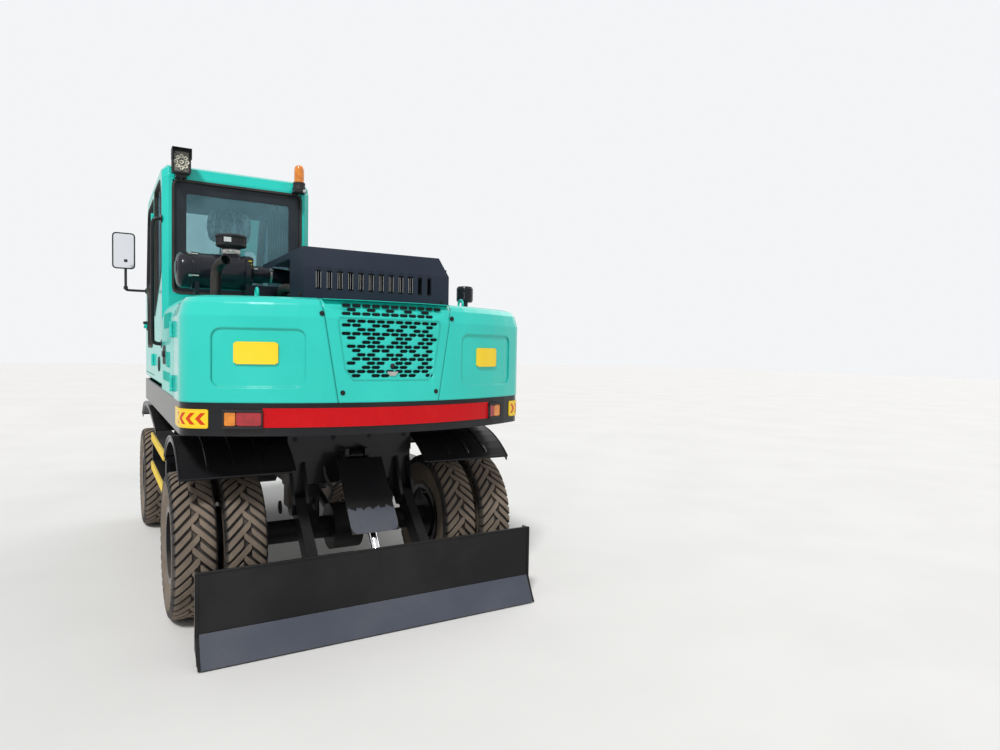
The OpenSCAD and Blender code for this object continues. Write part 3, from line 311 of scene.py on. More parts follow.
def wrapFilm(b, here):
    creaseAndHighlight = b.noise(b.scaled(here, (1.0, 1.8, 0.6)), 8, 4, 0.65)
    fold = b.cells(here, 15, "DISTANCE_TO_EDGE")
    height = creaseAndHighlight * 0.6 + fold.smooth(0.0, 0.25) * 0.4
    # the pale colour on the creases is a painted highlight, and both colours are lightened to stand in for
    # light in the closed cab: painted light over the film's own tint
    skin = b.mix(creaseAndHighlight.smooth(0.48, 0.6), (0.1, 0.15, 0.17, 1), (0.8, 0.88, 0.9, 1))
    seal(b, skin, creaseAndHighlight * 0.2 + 0.16, b.bump(height, 0.045), coat=0.8)


def seatCloth(b, here):
    x, y, z = here.xyz()
    weave = ((x + z) * 2600).maths("SINE") * ((y - z * 0.3) * 2600).maths("SINE")
    cloud = b.noise(here, 12, 4)
    skin = b.mix((weave * 0.3 + cloud * 0.7).clamp(), (0.03, 0.034, 0.04, 1), (0.1, 0.11, 0.12, 1))
    seal(b, skin, cloud * 0.1 + 0.82, b.bump(weave, 0.0006, 0.7), sheen=0.3)


def chevronPlate(b, here):
    u, v = b.add("ShaderNodeUVMap", {"uv_map": "along"}).xyz()[:2]
    rise = abs(v - 0.5)
    slant = abs(u) + rise * 0.095
    stripe = ((slant - 1.0026) * 18.0) % 1.0
    red = (1 - stripe.smooth(0.45, 0.49)) * (rise < 0.31) * (slant > 1.0) * (abs(u) < 1.165)
    line = (rise > 0.425) * (rise < 0.445)
    beads = b.cells(here, 300, "DISTANCE_TO_EDGE")
    skin = b.mix((red + line * 0.35).clamp(), (0.86, 0.6, 0.02, 1), (0.62, 0.05, 0.004, 1))
    seal(b, skin, beads * 0.2 + 0.28, b.bump(beads, 0.0002, 0.4), coat=0.1, shine=0.2)


# a flat near-black: painted shade in openings, inside the tail's slots, the tread holes and the exhaust's
# throat
def slotDark(b, here):
    seal(b, (0.003, 0.01, 0.01, 1), b.noise(here, 90) * 0.2 + 0.7, shine=0.2)


for maker in (tyreRubber, cabPaint, tailPaint, tintedPane, redTape, wrapFilm, seatCloth, chevronPlate,
              slotDark):
    maker(*newBoard(maker.__name__))
print("finishes made:", len(finishes))


# Objects and meshes
def placed(name, data):
    made = bpy.data.objects.new(name, data)
    bpy.context.scene.collection.objects.link(made)
    return made


def settled(piece):
    # the mesh of a piece as its modifiers leave it
    return bpy.data.meshes.new_from_object(piece.evaluated_get(bpy.context.evaluated_depsgraph_get()))


def coated(mesh, finish):
    mesh.materials.clear()
    mesh.materials.append(finishes[finish])
    mesh.polygons.foreach_set("material_index", [0] * len(mesh.polygons))
    return mesh


def dress(name, mesh, finish, body, replaces=(), bevel=0.0, smooth=30):
    piece = placed(name, mesh)
    if not mesh.materials:
        mesh.materials.append(finishes[finish])
    mesh.shade_smooth()
    mesh.set_sharp_from_angle(angle=radians(smooth))
    if bevel:
        edge = piece.modifiers.new("softEdge", "BEVEL")
        edge.width = bevel
        edge.segments = 2
        edge.limit_method = "ANGLE"
        edge.harden_normals = True
    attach(piece, body)
    if replaces:
        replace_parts(piece, *replaces)
    return piece


# a point from its two coordinates in a plane and the third along the axis that stands on it
upright = {"X": lambda p, q, t: (t, p, q), "Y": lambda p, q, t: (p, t, q), "Z": lambda p, q, t: (p, q, t)}


def circle(count):
    return [(cos(2 * pi * i / count), sin(2 * pi * i / count)) for i in range(count)]


class Shape:
    def __init__(self):
        self.bm = bmesh.new()

    def skin(self, rings, caps=(True, True), loop=False, flip=False):
        # faces from ring to ring and over both ends, where a ring of one point is a pole
        count = max(len(ring) for ring in rings)
        rings = [[self.bm.verts.new(p) for p in ring] for ring in rings]
        rings = [ring if len(ring) > 1 else ring * count for ring in rings]
        sides = []
        for one, two in zip(rings, rings[1:] + (rings[:1] if loop else [])):
            for i in range(count):
                j = (i + 1) % count
                corners = (one[j], one[i], two[i], two[j]) if flip else (one[i], one[j], two[j], two[i])
                sides.append(list(dict.fromkeys(corners)))
        ends = [ring[::-1] if turned else ring for ring, wanted, turned
                in ((rings[0], caps[0], not flip), (rings[-1], caps[1], flip)) if wanted]
        for corners in ends + sides if flip else sides + ends:
            if len(corners) > 2:
                self.bm.faces.new(corners)

    def box(self, low, high, turn=None):
        low, high = Vector(low), Vector(high)
        made = bmesh.ops.create_cube(self.bm, size=1.0)["verts"]
        for v in made:
            v.co = (low + high) / 2 + Vector([v.co[i] * (high[i] - low[i]) for i in range(3)])
        if turn:
            matrix = Matrix.Rotation(turn[0], 3, turn[1])
            bmesh.ops.rotate(self.bm, verts=made, cent=(low + high) / 2, matrix=matrix)

    def prism(self, outline, start, end, axis="Y"):
        self.skin([[upright[axis](*p, t) for p in outline] for t in (start, end)], flip=True)

    def frame(self, outer, inner, start, end, axis="Y"):
        lines = ((outer, start), (inner, start), (inner, end), (outer, end))
        self.skin([[upright[axis](*p, t) for p in line] for line, t in lines], (False, False), True)

    def lathe(self, profile, centre, axis="Y", steps=48, closed=False):
        # profile: (radius, distance along the axis)
        rings = [[Vector(centre) + Vector(upright[axis](r * c, r * s, t))
                  for c, s in circle(steps)[:steps if r else 1]]
                 for r, t in profile]
        self.skin(rings, (False, False), closed)

    def rod(self, start, end, radius, steps=20):
        start, end = Vector(start), Vector(end)
        turn = (end - start).to_track_quat("Z", "Y").to_matrix()
        self.skin([[base + turn @ Vector((radius * c, radius * s, 0)) for c, s in circle(steps)]
                   for base in (start, end)])

    def tube(self, points, radius, steps=12, smooth=4, openEnd=False):
        # a bent pipe or hose on a smooth curve through the points
        points = [Vector(p) for p in points]
        path = []
        for i, (one, two) in enumerate(zip(points, points[1:])):
            before, after = points[max(i - 1, 0)], points[min(i + 2, len(points) - 1)]
            for t in (k / smooth for k in range(smooth)):
                bend = (2 * before - 5 * one + 4 * two - after) * t * t
                cube = (3 * one - before - 3 * two + after) * t ** 3
                path.append(0.5 * (2 * one + (two - before) * t + bend + cube))
        path.append(points[-1])
        side = None
        rings = []
        for i, p in enumerate(path):
            ahead = (path[min(i + 1, len(path) - 1)] - path[max(i - 1, 0)]).normalized()
            side = ahead.orthogonal() if side is None else side - ahead * side.dot(ahead)
            side.normalize()
            over = ahead.cross(side)
            rings.append([p + radius * (side * c + over * s) for c, s in circle(steps)])
        self.skin(rings, (True, not openEnd))

    def bolt(self, spot, along, radius=0.009, height=0.007, washer=True):
        spot, along = Vector(spot), Vector(along).normalized()
        if washer:
            self.rod(spot - along * 0.003, spot + along * 0.0025, radius * 1.55, 20)
        self.rod(spot, spot + along * height, radius, 6)

    def mesh(self, name):
        mesh = bpy.data.meshes.new(name)
        self.bm.to_mesh(mesh)
        return mesh

    def piece(self, name, finish, body, slot, replaces=(), bevel=0.0, smooth=30):
        bmesh.ops.remove_doubles(self.bm, verts=self.bm.verts, dist=0.00002)
        bmesh.ops.recalc_face_normals(self.bm, faces=self.bm.faces)
        return dress(name, self.mesh(name), finish, body, replaces, bevel, smooth)


# Outlines in a plane
def insetOutline(points, amount):
    # the outline moved inwards, keeping the number of its points
    count = len(points)
    area = sum(a * d - c * b for (a, b), (c, d) in zip(points, points[1:] + points[:1]))
    sign = 1 if area > 0 else -1
    made = []
    for i in range(count):
        before, here, after = (Vector(points[(i + k) % count]) for k in (-1, 0, 1))
        edges = ((here - before).normalized(), (after - here).normalized())
        normals = [Vector((-e.y, e.x)) * sign for e in edges]
        middle = normals[0] + normals[1]
        middle = middle / max(0.35, middle.length_squared / 2)
        made.append(tuple(here + middle * amount))
    return made


def roundedOutline(points, radius, steps=4):
    count = len(points)
    made = []
    for i in range(count):
        before, here, after = (Vector(points[(i + k) % count]) for k in (-1, 0, 1))
        inward, outward = before - here, after - here
        reach = min(radius, inward.length * 0.45, outward.length * 0.45)
        start, end = here + inward.normalized() * reach, here + outward.normalized() * reach
        for t in (k / steps for k in range(steps + 1)):
            made.append(tuple(start * (1 - t) ** 2 + here * 2 * t * (1 - t) + end * t * t))
    return made


def roundedBox(left, low, right, high, radius, steps=4):
    return roundedOutline([(left, low), (right, low), (right, high), (left, high)], radius, steps)


# Geometry rules: copies round a ring, in rows, and over the curved rear grille
def newRule(name, **inputs):
    tree = bpy.data.node_groups.new(name, "GeometryNodeTree")
    for label, kind in {"Piece": "Object", "Finish": "Material", **inputs}.items():
        tree.interface.new_socket(label, in_out="INPUT", socket_type="NodeSocket" + kind)
    tree.interface.new_socket("Geometry", in_out="OUTPUT", socket_type="NodeSocketGeometry")
    entry = tree.nodes.new("NodeGroupInput")
    board = Board(tree)
    return board, {out.name: Wire(board, out) for out in entry.outputs if out.name}


def pointsAt(board, count, place):
    return board.add("GeometryNodePoints", None, {"Count": count, "Position": place})


def endRule(board, given, points, turn):
    shape = board.add("GeometryNodeObjectInfo", None, {"Object": given["Piece"]}, "Geometry")
    values = {"Points": points, "Instance": shape, "Rotation": turn}
    copies = board.add("GeometryNodeInstanceOnPoints", None, values)
    real = board.add("GeometryNodeRealizeInstances", None, {0: copies})
    board.end("NodeGroupOutput",
              board.add("GeometryNodeSetMaterial", None, {"Geometry": real, "Material": given["Finish"]}))
    return board.tree


def ringRule():
    b, given = newRule("copiesRoundRing", count="Int", radius="Float", start="Float", centre="Vector")
    angle = b.add("GeometryNodeInputIndex") * (2 * pi) / given["count"] + given["start"]
    offset = b.vector(angle.maths("COSINE") * given["radius"], 0.0, angle.maths("SINE") * given["radius"])
    place = b.add("ShaderNodeVectorMath", {"operation": "ADD"}, {0: offset, 1: given["centre"]})
    return endRule(b, given, pointsAt(b, given["count"], place), b.vector(0.0, angle * -1, 0.0))


def uprightRule():
    b, given = newRule("copiesRoundUpright", count="Int", radius="Float", height="Float")
    angle = b.add("GeometryNodeInputIndex") * (2 * pi) / given["count"]
    place = b.vector(angle.maths("COSINE") * given["radius"], angle.maths("SINE") * given["radius"],
                     given["height"])
    return endRule(b, given, pointsAt(b, given["count"], place), b.vector(0.0, 0.0, angle))


def rowRule():
    b, given = newRule("copiesInRows", columns="Int", rows="Int", start="Vector", columnStep="Vector",
                       rowStep="Vector", oddShift="Vector", turn="Vector")
    index = b.add("GeometryNodeInputIndex")
    row = (index / given["columns"]).floor()
    place = given["start"]
    for count, step in ((index % given["columns"], "columnStep"), (row, "rowStep"), (row % 2, "oddShift")):
        scaled = b.add("ShaderNodeVectorMath", {"operation": "SCALE"}, {0: given[step], "Scale": count})
        place = b.add("ShaderNodeVectorMath", {"operation": "ADD"}, {0: place, 1: scaled})
    return endRule(b, given, pointsAt(b, given["columns"] * given["rows"], place), given["turn"])


def grilleRule():
    # rows of slots between two heights, as wide as the trapezoid allows, laid on the tail's round face
    b, given = newRule("slotsOnTail", columns="Int", rows="Int", pitch="Float", rowPitch="Float",
                       bottom="Float", bottomHalf="Float", topHalf="Float", tailRadius="Float",
                       blankEvery="Int", rowPhase="Int")
    index = b.add("GeometryNodeInputIndex")
    row = (index / given["columns"]).floor()
    column = index % given["columns"]
    half = given["bottomHalf"] + (given["topHalf"] - given["bottomHalf"]) * (row / (given["rows"] - 1))
    side = (column - (given["columns"] - 1) / 2 + (row % 2) * 0.5 - 0.25) * given["pitch"]
    blank = (column + row) % given["blankEvery"] < 0.5
    blank = blank * ((row + given["rowPhase"]) % given["blankEvery"] > 0.5)
    angle = (side / given["tailRadius"]).maths("ARCSINE")
    height = given["bottom"] + row * given["rowPitch"]
    place = b.vector(angle.maths("COSINE") * given["tailRadius"] * -1, side, height)
    points = pointsAt(b, given["columns"] * given["rows"], place)
    dropped = {"Geometry": points, "Selection": (abs(side) > half).most(blank)}
    kept = b.add("GeometryNodeDeleteGeometry", {"domain": "POINT"}, dropped)
    y = b.add("GeometryNodeInputPosition").xyz()[1]
    return endRule(b, given, kept, b.vector(0.0, 0.0, (y / given["tailRadius"]).maths("ARCSINE") * -1))


rules = {"ring": ringRule(), "upright": uprightRule(), "rows": rowRule(), "grille": grilleRule()}


def repeat(name, rule, unit, values, finish, body, extra=None, smooth=30):
    # copies of a unit, with an extra shape joined to them where one is given
    bmesh.ops.recalc_face_normals(unit.bm, faces=unit.bm.faces)
    source = placed(name + "Unit", unit.mesh(name + "Unit"))
    holder = placed(name + "Rule", bpy.data.meshes.new(name + "Rule"))
    rule = rules[rule]
    change = holder.modifiers.new("rule", "NODES")
    change.node_group = rule
    values = {**values, "Piece": source, "Finish": finishes[finish]}
    for item in rule.interface.items_tree:
        if item.in_out == "INPUT" and item.name in values:
            change[item.identifier] = values[item.name]
    mesh = settled(holder)
    mesh.name = name
    for o in (holder, source):
        bpy.data.objects.remove(o)
    if extra is not None:
        extra.bm.from_mesh(mesh)
        bmesh.ops.recalc_face_normals(extra.bm, faces=extra.bm.faces)
        extra.bm.to_mesh(mesh)
    return dress(name, coated(mesh, finish), finish, body, smooth=smooth)


def joined(name, pieces):
    # pieces made by rules, put together as one
    bm = bmesh.new()
    for p in pieces:
        bm.from_mesh(p.data)
    bm.to_mesh(pieces[0].data)
    for p in pieces[1:]:
        bpy.data.objects.remove(p)
    pieces[0].name = name
    return pieces[0]


# The view of the photograph, the floor and the light
view = {"place": (-5.3717, 1.4096, 1.6125), "yaw": -30.814, "pitch": -2.064, "roll": 0.973, "focal": 675.34}
yaw, pitch, roll = (radians(view[k]) for k in ("yaw", "pitch", "roll"))
ahead = Vector((cos(pitch) * cos(yaw), cos(pitch) * sin(yaw), sin(pitch)))
across = Vector((sin(yaw), -cos(yaw), 0))
above = across.cross(ahead)
axes = (across * cos(roll) + above * sin(roll), above * cos(roll) - across * sin(roll), -ahead)
lensData = bpy.data.cameras.new("photoView")
lensData.sensor_width = 36
lensData.lens = lensData.sensor_width * view["focal"] / 1000
lensData.clip_start = 0.05
camera = placed("photoView", lensData)
camera.matrix_world = Matrix.Translation(view["place"]) @ Matrix(axes).transposed().to_4x4()
bpy.context.scene.camera = camera

studio = {"sky": 0.55, "seen": 0.93, "mirrored": 0.86, "key": 2.4, "fill": 0.5,
          "floor": (0.74, 0.73, 0.71, 1)}
world = bpy.data.worlds.new("paleRoom")
world.use_nodes = True
world.node_tree.nodes.clear()
b = Board(world.node_tree)
rays = {out.name: Wire(b, out) for out in b.add("ShaderNodeLightPath").socket.node.outputs}
seen = rays["Is Camera Ray"].most(rays["Is Transmission Ray"])
strength = (studio["sky"] + seen * (studio["seen"] - studio["sky"])
            + rays["Is Glossy Ray"] * (1 - seen) * (studio["mirrored"] - studio["sky"]))
values = {"Color": (0.97, 0.98, 1.0, 1), "Strength": strength}
b.end("ShaderNodeOutputWorld", b.add("ShaderNodeBackground", None, values))
bpy.context.scene.world = world
bpy.context.scene.view_settings.view_transform = "Standard"

b, here = newBoard("paleFloor")
clouds = b.noise(here, 0.8, 3)
tone = b.mix(clouds.smooth(0.3, 0.7), studio["floor"], lighter(studio["floor"], 0.96))
seal(b, tone, clouds * 0.1 + 0.75, b.bump(b.noise(here, 60, 4), 0.0004))
floor = Shape()
bmesh.ops.create_grid(floor.bm, x_segments=1, y_segments=1, size=60)
placed("paleFloor", coated(floor.mesh("paleFloor"), "paleFloor"))

for label, strength, angle, aim in (("keyLight", studio["key"], 9, (0.62, -0.5, -0.95)),
                                    ("fillLight", studio["fill"], 40, (-0.4, 0.9, -0.6))):
    sunData = bpy.data.lights.new(label, "SUN")
    sunData.energy = strength
    sunData.angle = radians(angle)
    placed(label, sunData).rotation_euler = Vector(aim).to_track_quat("-Z", "Y").to_euler()
print("camera, floor and light set")


# Finishes of the frame's own pieces
nodeFinishes = {
    "blackPaint": "chassis_frame fenders step_frames upper_frame blade_cylinder boom_cylinder arm_cylinder "
                  "bucket_cylinder bucket_rocker bucket_link",
    "castIron": "rear_axle front_axle drive_line slewing_ring knuckle_left knuckle_right engine_block",
    "rimPaint": "wheel_front_left wheel_front_right wheel_rear_left wheel_rear_right",
    "tyreRubber": "tyres_front_left tyres_front_right tyres_rear_left tyres_rear_right",
    "treadYellow": "step_treads",
    "bladePaint": "blade",
    "bucketPaint": "bucket",
    "chromeRod": "blade_rod boom_rod arm_rod bucket_rod",
    "tealPaint": "rear_grille_panel engine_deck fuel_tank side_door_left side_door_right lifting_eyes "
                 "boom arm",
    "tailPaint": "counterweight",
    "cabPaint": "cab_shell cab_door",
    "hoodPaint": "engine_hood",
    "drumBlack": "air_cleaner",
    "pipeSteel": "exhaust_pipe",
    "tintedPane": "cab_glass cab_door_glass",
    "seatCloth": "seat",
    "cabPlastic": "controls lamps side_mirror",
}
for finish, names in nodeFinishes.items():
    for name in names.split():
        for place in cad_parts[name].material_slots:
            place.material = finishes[finish]
print("frame pieces finished")


# Tyres: a round body, long and short bars on both halves of the tread
tyre = {"radius": 0.43, "lug": 0.019, "halfWidth": 0.1175, "rim": 0.226, "bead": 0.205, "count": 21,
        "outer": 0.951, "pitch": 0.27}
wheels = {"front_left": (1.464, 1), "front_right": (1.464, -1), "rear_left": (-0.98, 1),
          "rear_right": (-0.98, -1)}
axleZ = tyre["radius"]


def tyreBody(centre):
    # radius, and distance from the middle as a share of half the width
    base, rim = tyre["radius"] - tyre["lug"], tyre["rim"]
    half = [(tyre["bead"], 0.7), (rim + 0.002, 0.74), (rim + 0.012, 0.8), (rim + 0.03, 0.83), (0.285, 0.93),
            (0.292, 0.955), (0.3, 0.95), (0.325, 0.985), (0.35, 0.975), (0.366, 0.965), (0.372, 0.99),
            (0.38, 0.985), (0.398, 0.93), (base - 0.004, 0.8), (base, 0.6), (base + 0.002, 0.2)]
    wide = tyre["halfWidth"]
    ways = [(a, -t * wide) for a, t in half] + [(a, t * wide) for a, t in reversed(half)]
    body = Shape()
    body.lathe(ways, centre, "Y", 96, True)
    return body


def addBar(m, half, reach, shift, width):
    # stations from the middle of the tread to the side wall: distance from the middle, outer radius
    r, h = tyre["radius"], tyre["halfWidth"]
    stations = [(reach, r - 0.0015), (reach + 0.01, r), (0.045, r), (0.078, r - 0.001), (0.098, r - 0.006),
                (h - 0.006, r - 0.02), (h, r - 0.045), (h - 0.001, r - 0.062)]
    rings = []
    for i, (off, top) in enumerate(stations):
        turn = shift + (off - 0.02) * 1.02 / r
        wide = width * (0.8 if i == 0 else 1.0 if i < 6 else 0.86) * 1.35 / r
        low = min(top - 0.004, r - 0.024) if i < 7 else top - 0.004
        inset = 0 if i < 5 else 0.01
        corners = ((top, 1.0, 0), (top, -1.0, 0), (low, -1.22, inset), (low, 1.22, inset))
        rings.append([(radius * cos(turn + wide * 0.5 * spread), half * (off - push),
                       radius * sin(turn + wide * 0.5 * spread)) for radius, spread, push in corners])
    m.skin(rings)


for label, (x, side) in wheels.items():
    parts = []
    step = 2 * pi / tyre["count"]
    for k, y in enumerate((side * tyre["outer"], side * (tyre["outer"] - tyre["pitch"]))):
        unit = Shape()
        for half, lead in ((-1, step * 0.5), (1, 0)):
            addBar(unit, half, -0.02, lead, 0.03)
            addBar(unit, half, 0.022, lead + step * 0.5, 0.029)
        start = pi / 2 - step / 4 - 0.0759 - k * radians(6)
        values = {"count": tyre["count"], "radius": 0.0, "start": start, "centre": (x, y, axleZ)}
        parts.append(repeat("tyres_" + label + str(k), "ring", unit, values, "tyreRubber", label + "_wheel",
                            tyreBody((x, y, axleZ)), 38))
    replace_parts(joined("treadedTyres_" + label, parts), "tyres_" + label)
print("tyres cut")


# Wheel details: nuts with washers, a hub cap and its bolts, a dish, a rolled rim edge and a valve
wheelParts = {
    "nutCircle": 0.11, "capBolts": 12, "capCircle": 0.073,
    "nut": [(0, 0.028), (0.0105, 0.027), (0.0155, 0.02), (0.0155, 0.0), (0.021, 0.0), (0.021, -0.005),
            (0, -0.005)],
    "hub": [(0, 0.955), (0.03, 0.953), (0.052, 0.944), (0.06, 0.93), (0.084, 0.93), (0.088, 0.924),
            (0.088, 0.905), (0, 0.905)],
    "dish": [(0.199, 0.845), (0.19, 0.842), (0.182, 0.836), (0.15, 0.831), (0.088, 0.83), (0.088, 0.826),
             (0.199, 0.826)],
    "roll": [(0.2265, 1.037), (0.231, 1.041), (0.23, 1.048), (0.223, 1.052), (0.212, 1.05), (0.207, 1.044),
             (0.2075, 1.03), (0.2265, 1.03)],
    "valve": [(0.185, 0.838), (0.186, 0.9), (0.178, 0.93)]}
for label, (x, side) in wheels.items():
    nut, extra = Shape(), Shape()
    nut.lathe([(r, side * t) for r, t in wheelParts["nut"]], (0, 0, 0), "Y", 6)
    for profile, steps, closed in (("hub", 40, False), ("dish", 56, True), ("roll", 72, True)):
        extra.lathe([(r, side * t) for r, t in wheelParts[profile]], (x, 0, axleZ), "Y", steps, closed)
    for c, s in circle(wheelParts["capBolts"]):
        spot = Vector((x + wheelParts["capCircle"] * c, side * 0.93, axleZ + wheelParts["capCircle"] * s))
        extra.rod(spot, spot + Vector((0, side * 0.008, 0)), 0.006, 6)
    extra.tube([(x + off, side * t, axleZ) for off, t in wheelParts["valve"]], 0.0045, 8, 2)
    values = {"count": 8, "radius": wheelParts["nutCircle"], "start": 0.0, "centre": (x, side * 0.858, axleZ)}
    repeat("wheelNuts_" + label, "ring", nut, values, "rimPaint", label + "_wheel", extra)
print("wheels bolted")


# The plan of the tail: distance along it from the middle of the rear, and how far out
tail = {"radius": 1.84, "halfWidth": 1.044, "corner": 0.15}
tailR, corner = tail["radius"], tail["corner"]
cornerY = tail["halfWidth"] - corner
cornerX = -sqrt((tailR - corner) ** 2 - cornerY ** 2)
arcTurn = atan2(cornerY, -cornerX)
arcRun = arcTurn * tailR
cornerRun = (pi / 2 - arcTurn) * corner


def onTail(run, out=0.0):
    side = 1 if run >= 0 else -1
    run = abs(run)
    if run < arcRun:
        a = run / tailR
        return Vector((-cos(a) * (tailR + out), side * sin(a) * (tailR + out), 0))
    if run < arcRun + cornerRun:
        a = arcTurn + (run - arcRun) / corner
        reach = corner + out
        return Vector((cornerX - cos(a) * reach, side * (cornerY + sin(a) * reach), 0))
    return Vector((cornerX + run - arcRun - cornerRun, side * (tail["halfWidth"] + out), 0))


def runAt(y):
    return tailR * asin(y / tailR)


def onTailFace(y, z, out):
    spot = onTail(runAt(y), out)
    return (spot.x, spot.y, z)


def addBand(m, start, end, low, high, inner, outer, steps=24, rounded=0.0):
    # a plate bent round the tail, with its own coordinates: u along in metres, v from 0 to 1 up
    layer = m.bm.loops.layers.uv.get("along") or m.bm.loops.layers.uv.new("along")
    rings = []
    for i in range(steps + 1):
        run = start + (end - start) * i / steps
        near = min(i, steps - i) / steps * abs(end - start)
        cut = rounded - sqrt(max(0.0, rounded ** 2 - (rounded - near) ** 2)) if near < rounded else 0.0
        ring = []
        for out, z in ((inner, low + cut), (outer, low + cut), (outer, high - cut), (inner, high - cut)):
            spot = onTail(run, out)
            ring.append(m.bm.verts.new((spot.x, spot.y, z)))
        rings.append((run, ring))
    for (runA, one), (runB, two) in zip(rings, rings[1:]):
        for k in range(4):
            j = (k + 1) % 4
            face = m.bm.faces.new((one[k], one[j], two[j], two[k]))
            for loop, (run, v) in zip(face.loops, ((runA, k), (runA, j), (runB, j), (runB, k))):
                loop[layer].uv = (run, 1.0 if v in (2, 3) else 0.0)
    for run, ring in (rings[0], rings[-1]):
        face = m.bm.faces.new(ring)
        for loop, v in zip(face.loops, (0, 0, 1, 1)):
            loop[layer].uv = (run, v)


# Lamps, tape and plates along the skirt and on the tail: ends across, or along for the chevrons, and heights
signs = {"tape": (0.669, -0.692), "tapeZ": (1.188, 1.29), "amber": ((0.792, 0.844), (-0.8, -0.744)),
         "red": ((0.671, 0.79), (-0.742, -0.696)), "lampZ": (1.196, 1.27),
         "housings": ((0.667, 0.85), (-0.806, -0.6935)), "housingZ": (1.184, 1.282),
         "chevrons": (0.961, 1.18, 1.183, 1.31), "chevronZ": (1.182, 1.282),
         "plates": ((0.805, 0.597, 1.52, 1.637), (-0.59, -0.765, 1.511, 1.626))}
m = Shape()
addBand(m, runAt(signs["tape"][1]), runAt(signs["tape"][0]), *signs["tapeZ"], -0.006, 0.0015, 60)
m.piece("redBand", "redTape", "upper", "black_paint")

for name, finish, spans in (("amberLamps", "amberLens", "amber"), ("redLamps", "redLens", "red")):
    m = Shape()
    for one, two in signs[spans]:
        addBand(m, runAt(one), runAt(two), *signs["lampZ"], -0.006, 0.012, 10, 0.006)
    m.piece(name, finish, "upper", "lamp_plastic", ("lamps",), bevel=0.004)

m = Shape()
for one, two in signs["housings"]:
    low, high = signs["housingZ"]
    for z in (low, high - 0.012):
        addBand(m, runAt(one), runAt(two), z, z + 0.012, -0.006, 0.016, 12)
    for y in (one, two - 0.006):
        addBand(m, runAt(y), runAt(y + 0.006), low, high, -0.006, 0.016, 2)
m.piece("lampHousings", "cabPlastic", "upper", "lamp_plastic", ("lamps",), bevel=0.001)

m = Shape()
for side in (1, -1):
    first, second, third, last = (side * run for run in signs["chevrons"])
    addBand(m, first, second, *signs["chevronZ"], -0.006, 0.0015, 24, 0.006)
    addBand(m, third, last, *signs["chevronZ"], -0.006, 0.0015, 12, 0.006)
m.piece("chevronPlates", "chevronPlate", "upper", "black_paint")

m = Shape()
for left, right, low, high in signs["plates"]:
    addBand(m, runAt(right), runAt(left), low, high, -0.009, 0.0012, 14, 0.01)
m.piece("blankPlates", "labelYellow", "upper", "teal_paint")


# Rear panel: rows of elongated hexagons sunk into it, some left blank, inside a pressed edge
grille = {"slot": (0.0258, 0.018, 0.0091), "deep": 0.014, "lidZ": (1.871, 1.8745), "lidHalf": 0.378,
          "lidX": -1.505}
slotRows = {"Low": {"bottom": 1.463, "rows": 14, "bottomHalf": 0.232, "topHalf": 0.274, "blankEvery": 3,
                    "rowPhase": 2},
            "Top": {"bottom": 1.7985, "rows": 3, "bottomHalf": 0.28, "topHalf": 0.292, "blankEvery": 2,
                    "rowPhase": 0}}


def slotField(name, shrink, start, end):
    reach, flat, high = (size * shrink for size in grille["slot"])
    unit = Shape()
    unit.prism([(-reach, 0), (-flat, -high), (flat, -high), (reach, 0), (flat, high), (-flat, high)],
               start, end, "X")
    fields = []
    for label, given in slotRows.items():
        values = {**given, "columns": 13, "pitch": 0.0545, "rowPitch": 0.02277, "tailRadius": tailR}
        fields.append(repeat(name + label, "grille", unit, values, "slotDark", "upper"))
    return joined(name, fields)


cutter = slotField("slotCutter", 1.0, -0.006, grille["deep"])
sheet = Shape()
sheet.bm.from_mesh(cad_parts["rear_grille_panel"].data)
bmesh.ops.remove_doubles(sheet.bm, verts=sheet.bm.verts, dist=0.00001)
bmesh.ops.recalc_face_normals(sheet.bm, faces=sheet.bm.faces)
blankPanel = placed("blankPanel", sheet.mesh("blankPanel"))
cut = blankPanel.modifiers.new("slots", "BOOLEAN")
cut.operation = "DIFFERENCE"
cut.solver = "EXACT"
cut.object = cutter
pierced = coated(settled(blankPanel), "tailPaint")
bpy.data.objects.remove(blankPanel)
bpy.data.objects.remove(cutter)
print("slots cut, faces:", len(pierced.polygons))
dress("piercedPanel", pierced, "tailPaint", "upper", ("rear_grille_panel",), smooth=25)
# the sheet that closes the tail's top behind the hood, with a folded front edge
m = Shape()
half, (low, high) = grille["lidHalf"], grille["lidZ"]
rim = [onTail(runAt(-half + half / 6 * k), -0.006).xy[:] for k in range(13)]
m.prism(rim + [(grille["lidX"], half), (grille["lidX"], -half)], low, high, "Z")
m.box((grille["lidX"] - 0.003, -half, 1.85), (grille["lidX"], half, high))
m.piece("tailLid", "tealPaint", "upper", "teal_paint", bevel=0.001)
# near-black plates a little inside the slots: painted shade behind the openings
slotField("slotWells", 0.985, grille["deep"] - 0.005, grille["deep"] - 0.0002)

# The pressed edge round the slots, laid on the round face, the panel's catch and bolts
edgeLine = [(-0.222, 1.436), (0.222, 1.436), (0.268, 1.5), (0.306, 1.752), (0.296, 1.78), (-0.296, 1.78),
            (-0.306, 1.752), (-0.268, 1.5)]
outer = [(a + (d - a) * k / 6, c + (e - c) * k / 6)
         for (a, c), (d, e) in zip(edgeLine, edgeLine[1:] + edgeLine[:1]) for k in range(6)]
inner = insetOutline(outer, 0.007)
m = Shape()
m.skin([[onTailFace(y, z, out) for y, z in line]
        for line, out in ((outer, -0.002), (inner, -0.002), (inner, 0.0014), (outer, 0.0014))],
        (False, False), True)
m.piece("pressedEdge", "tailPaint", "upper", "teal_paint", bevel=0.0007)
m = Shape()
catch = [(-0.032, 1.486), (0.032, 1.486), (0.028, 1.474), (0.012, 1.462), (-0.012, 1.462), (-0.028, 1.474)]
m.prism(catch, -1.8455, -1.8385, "X")
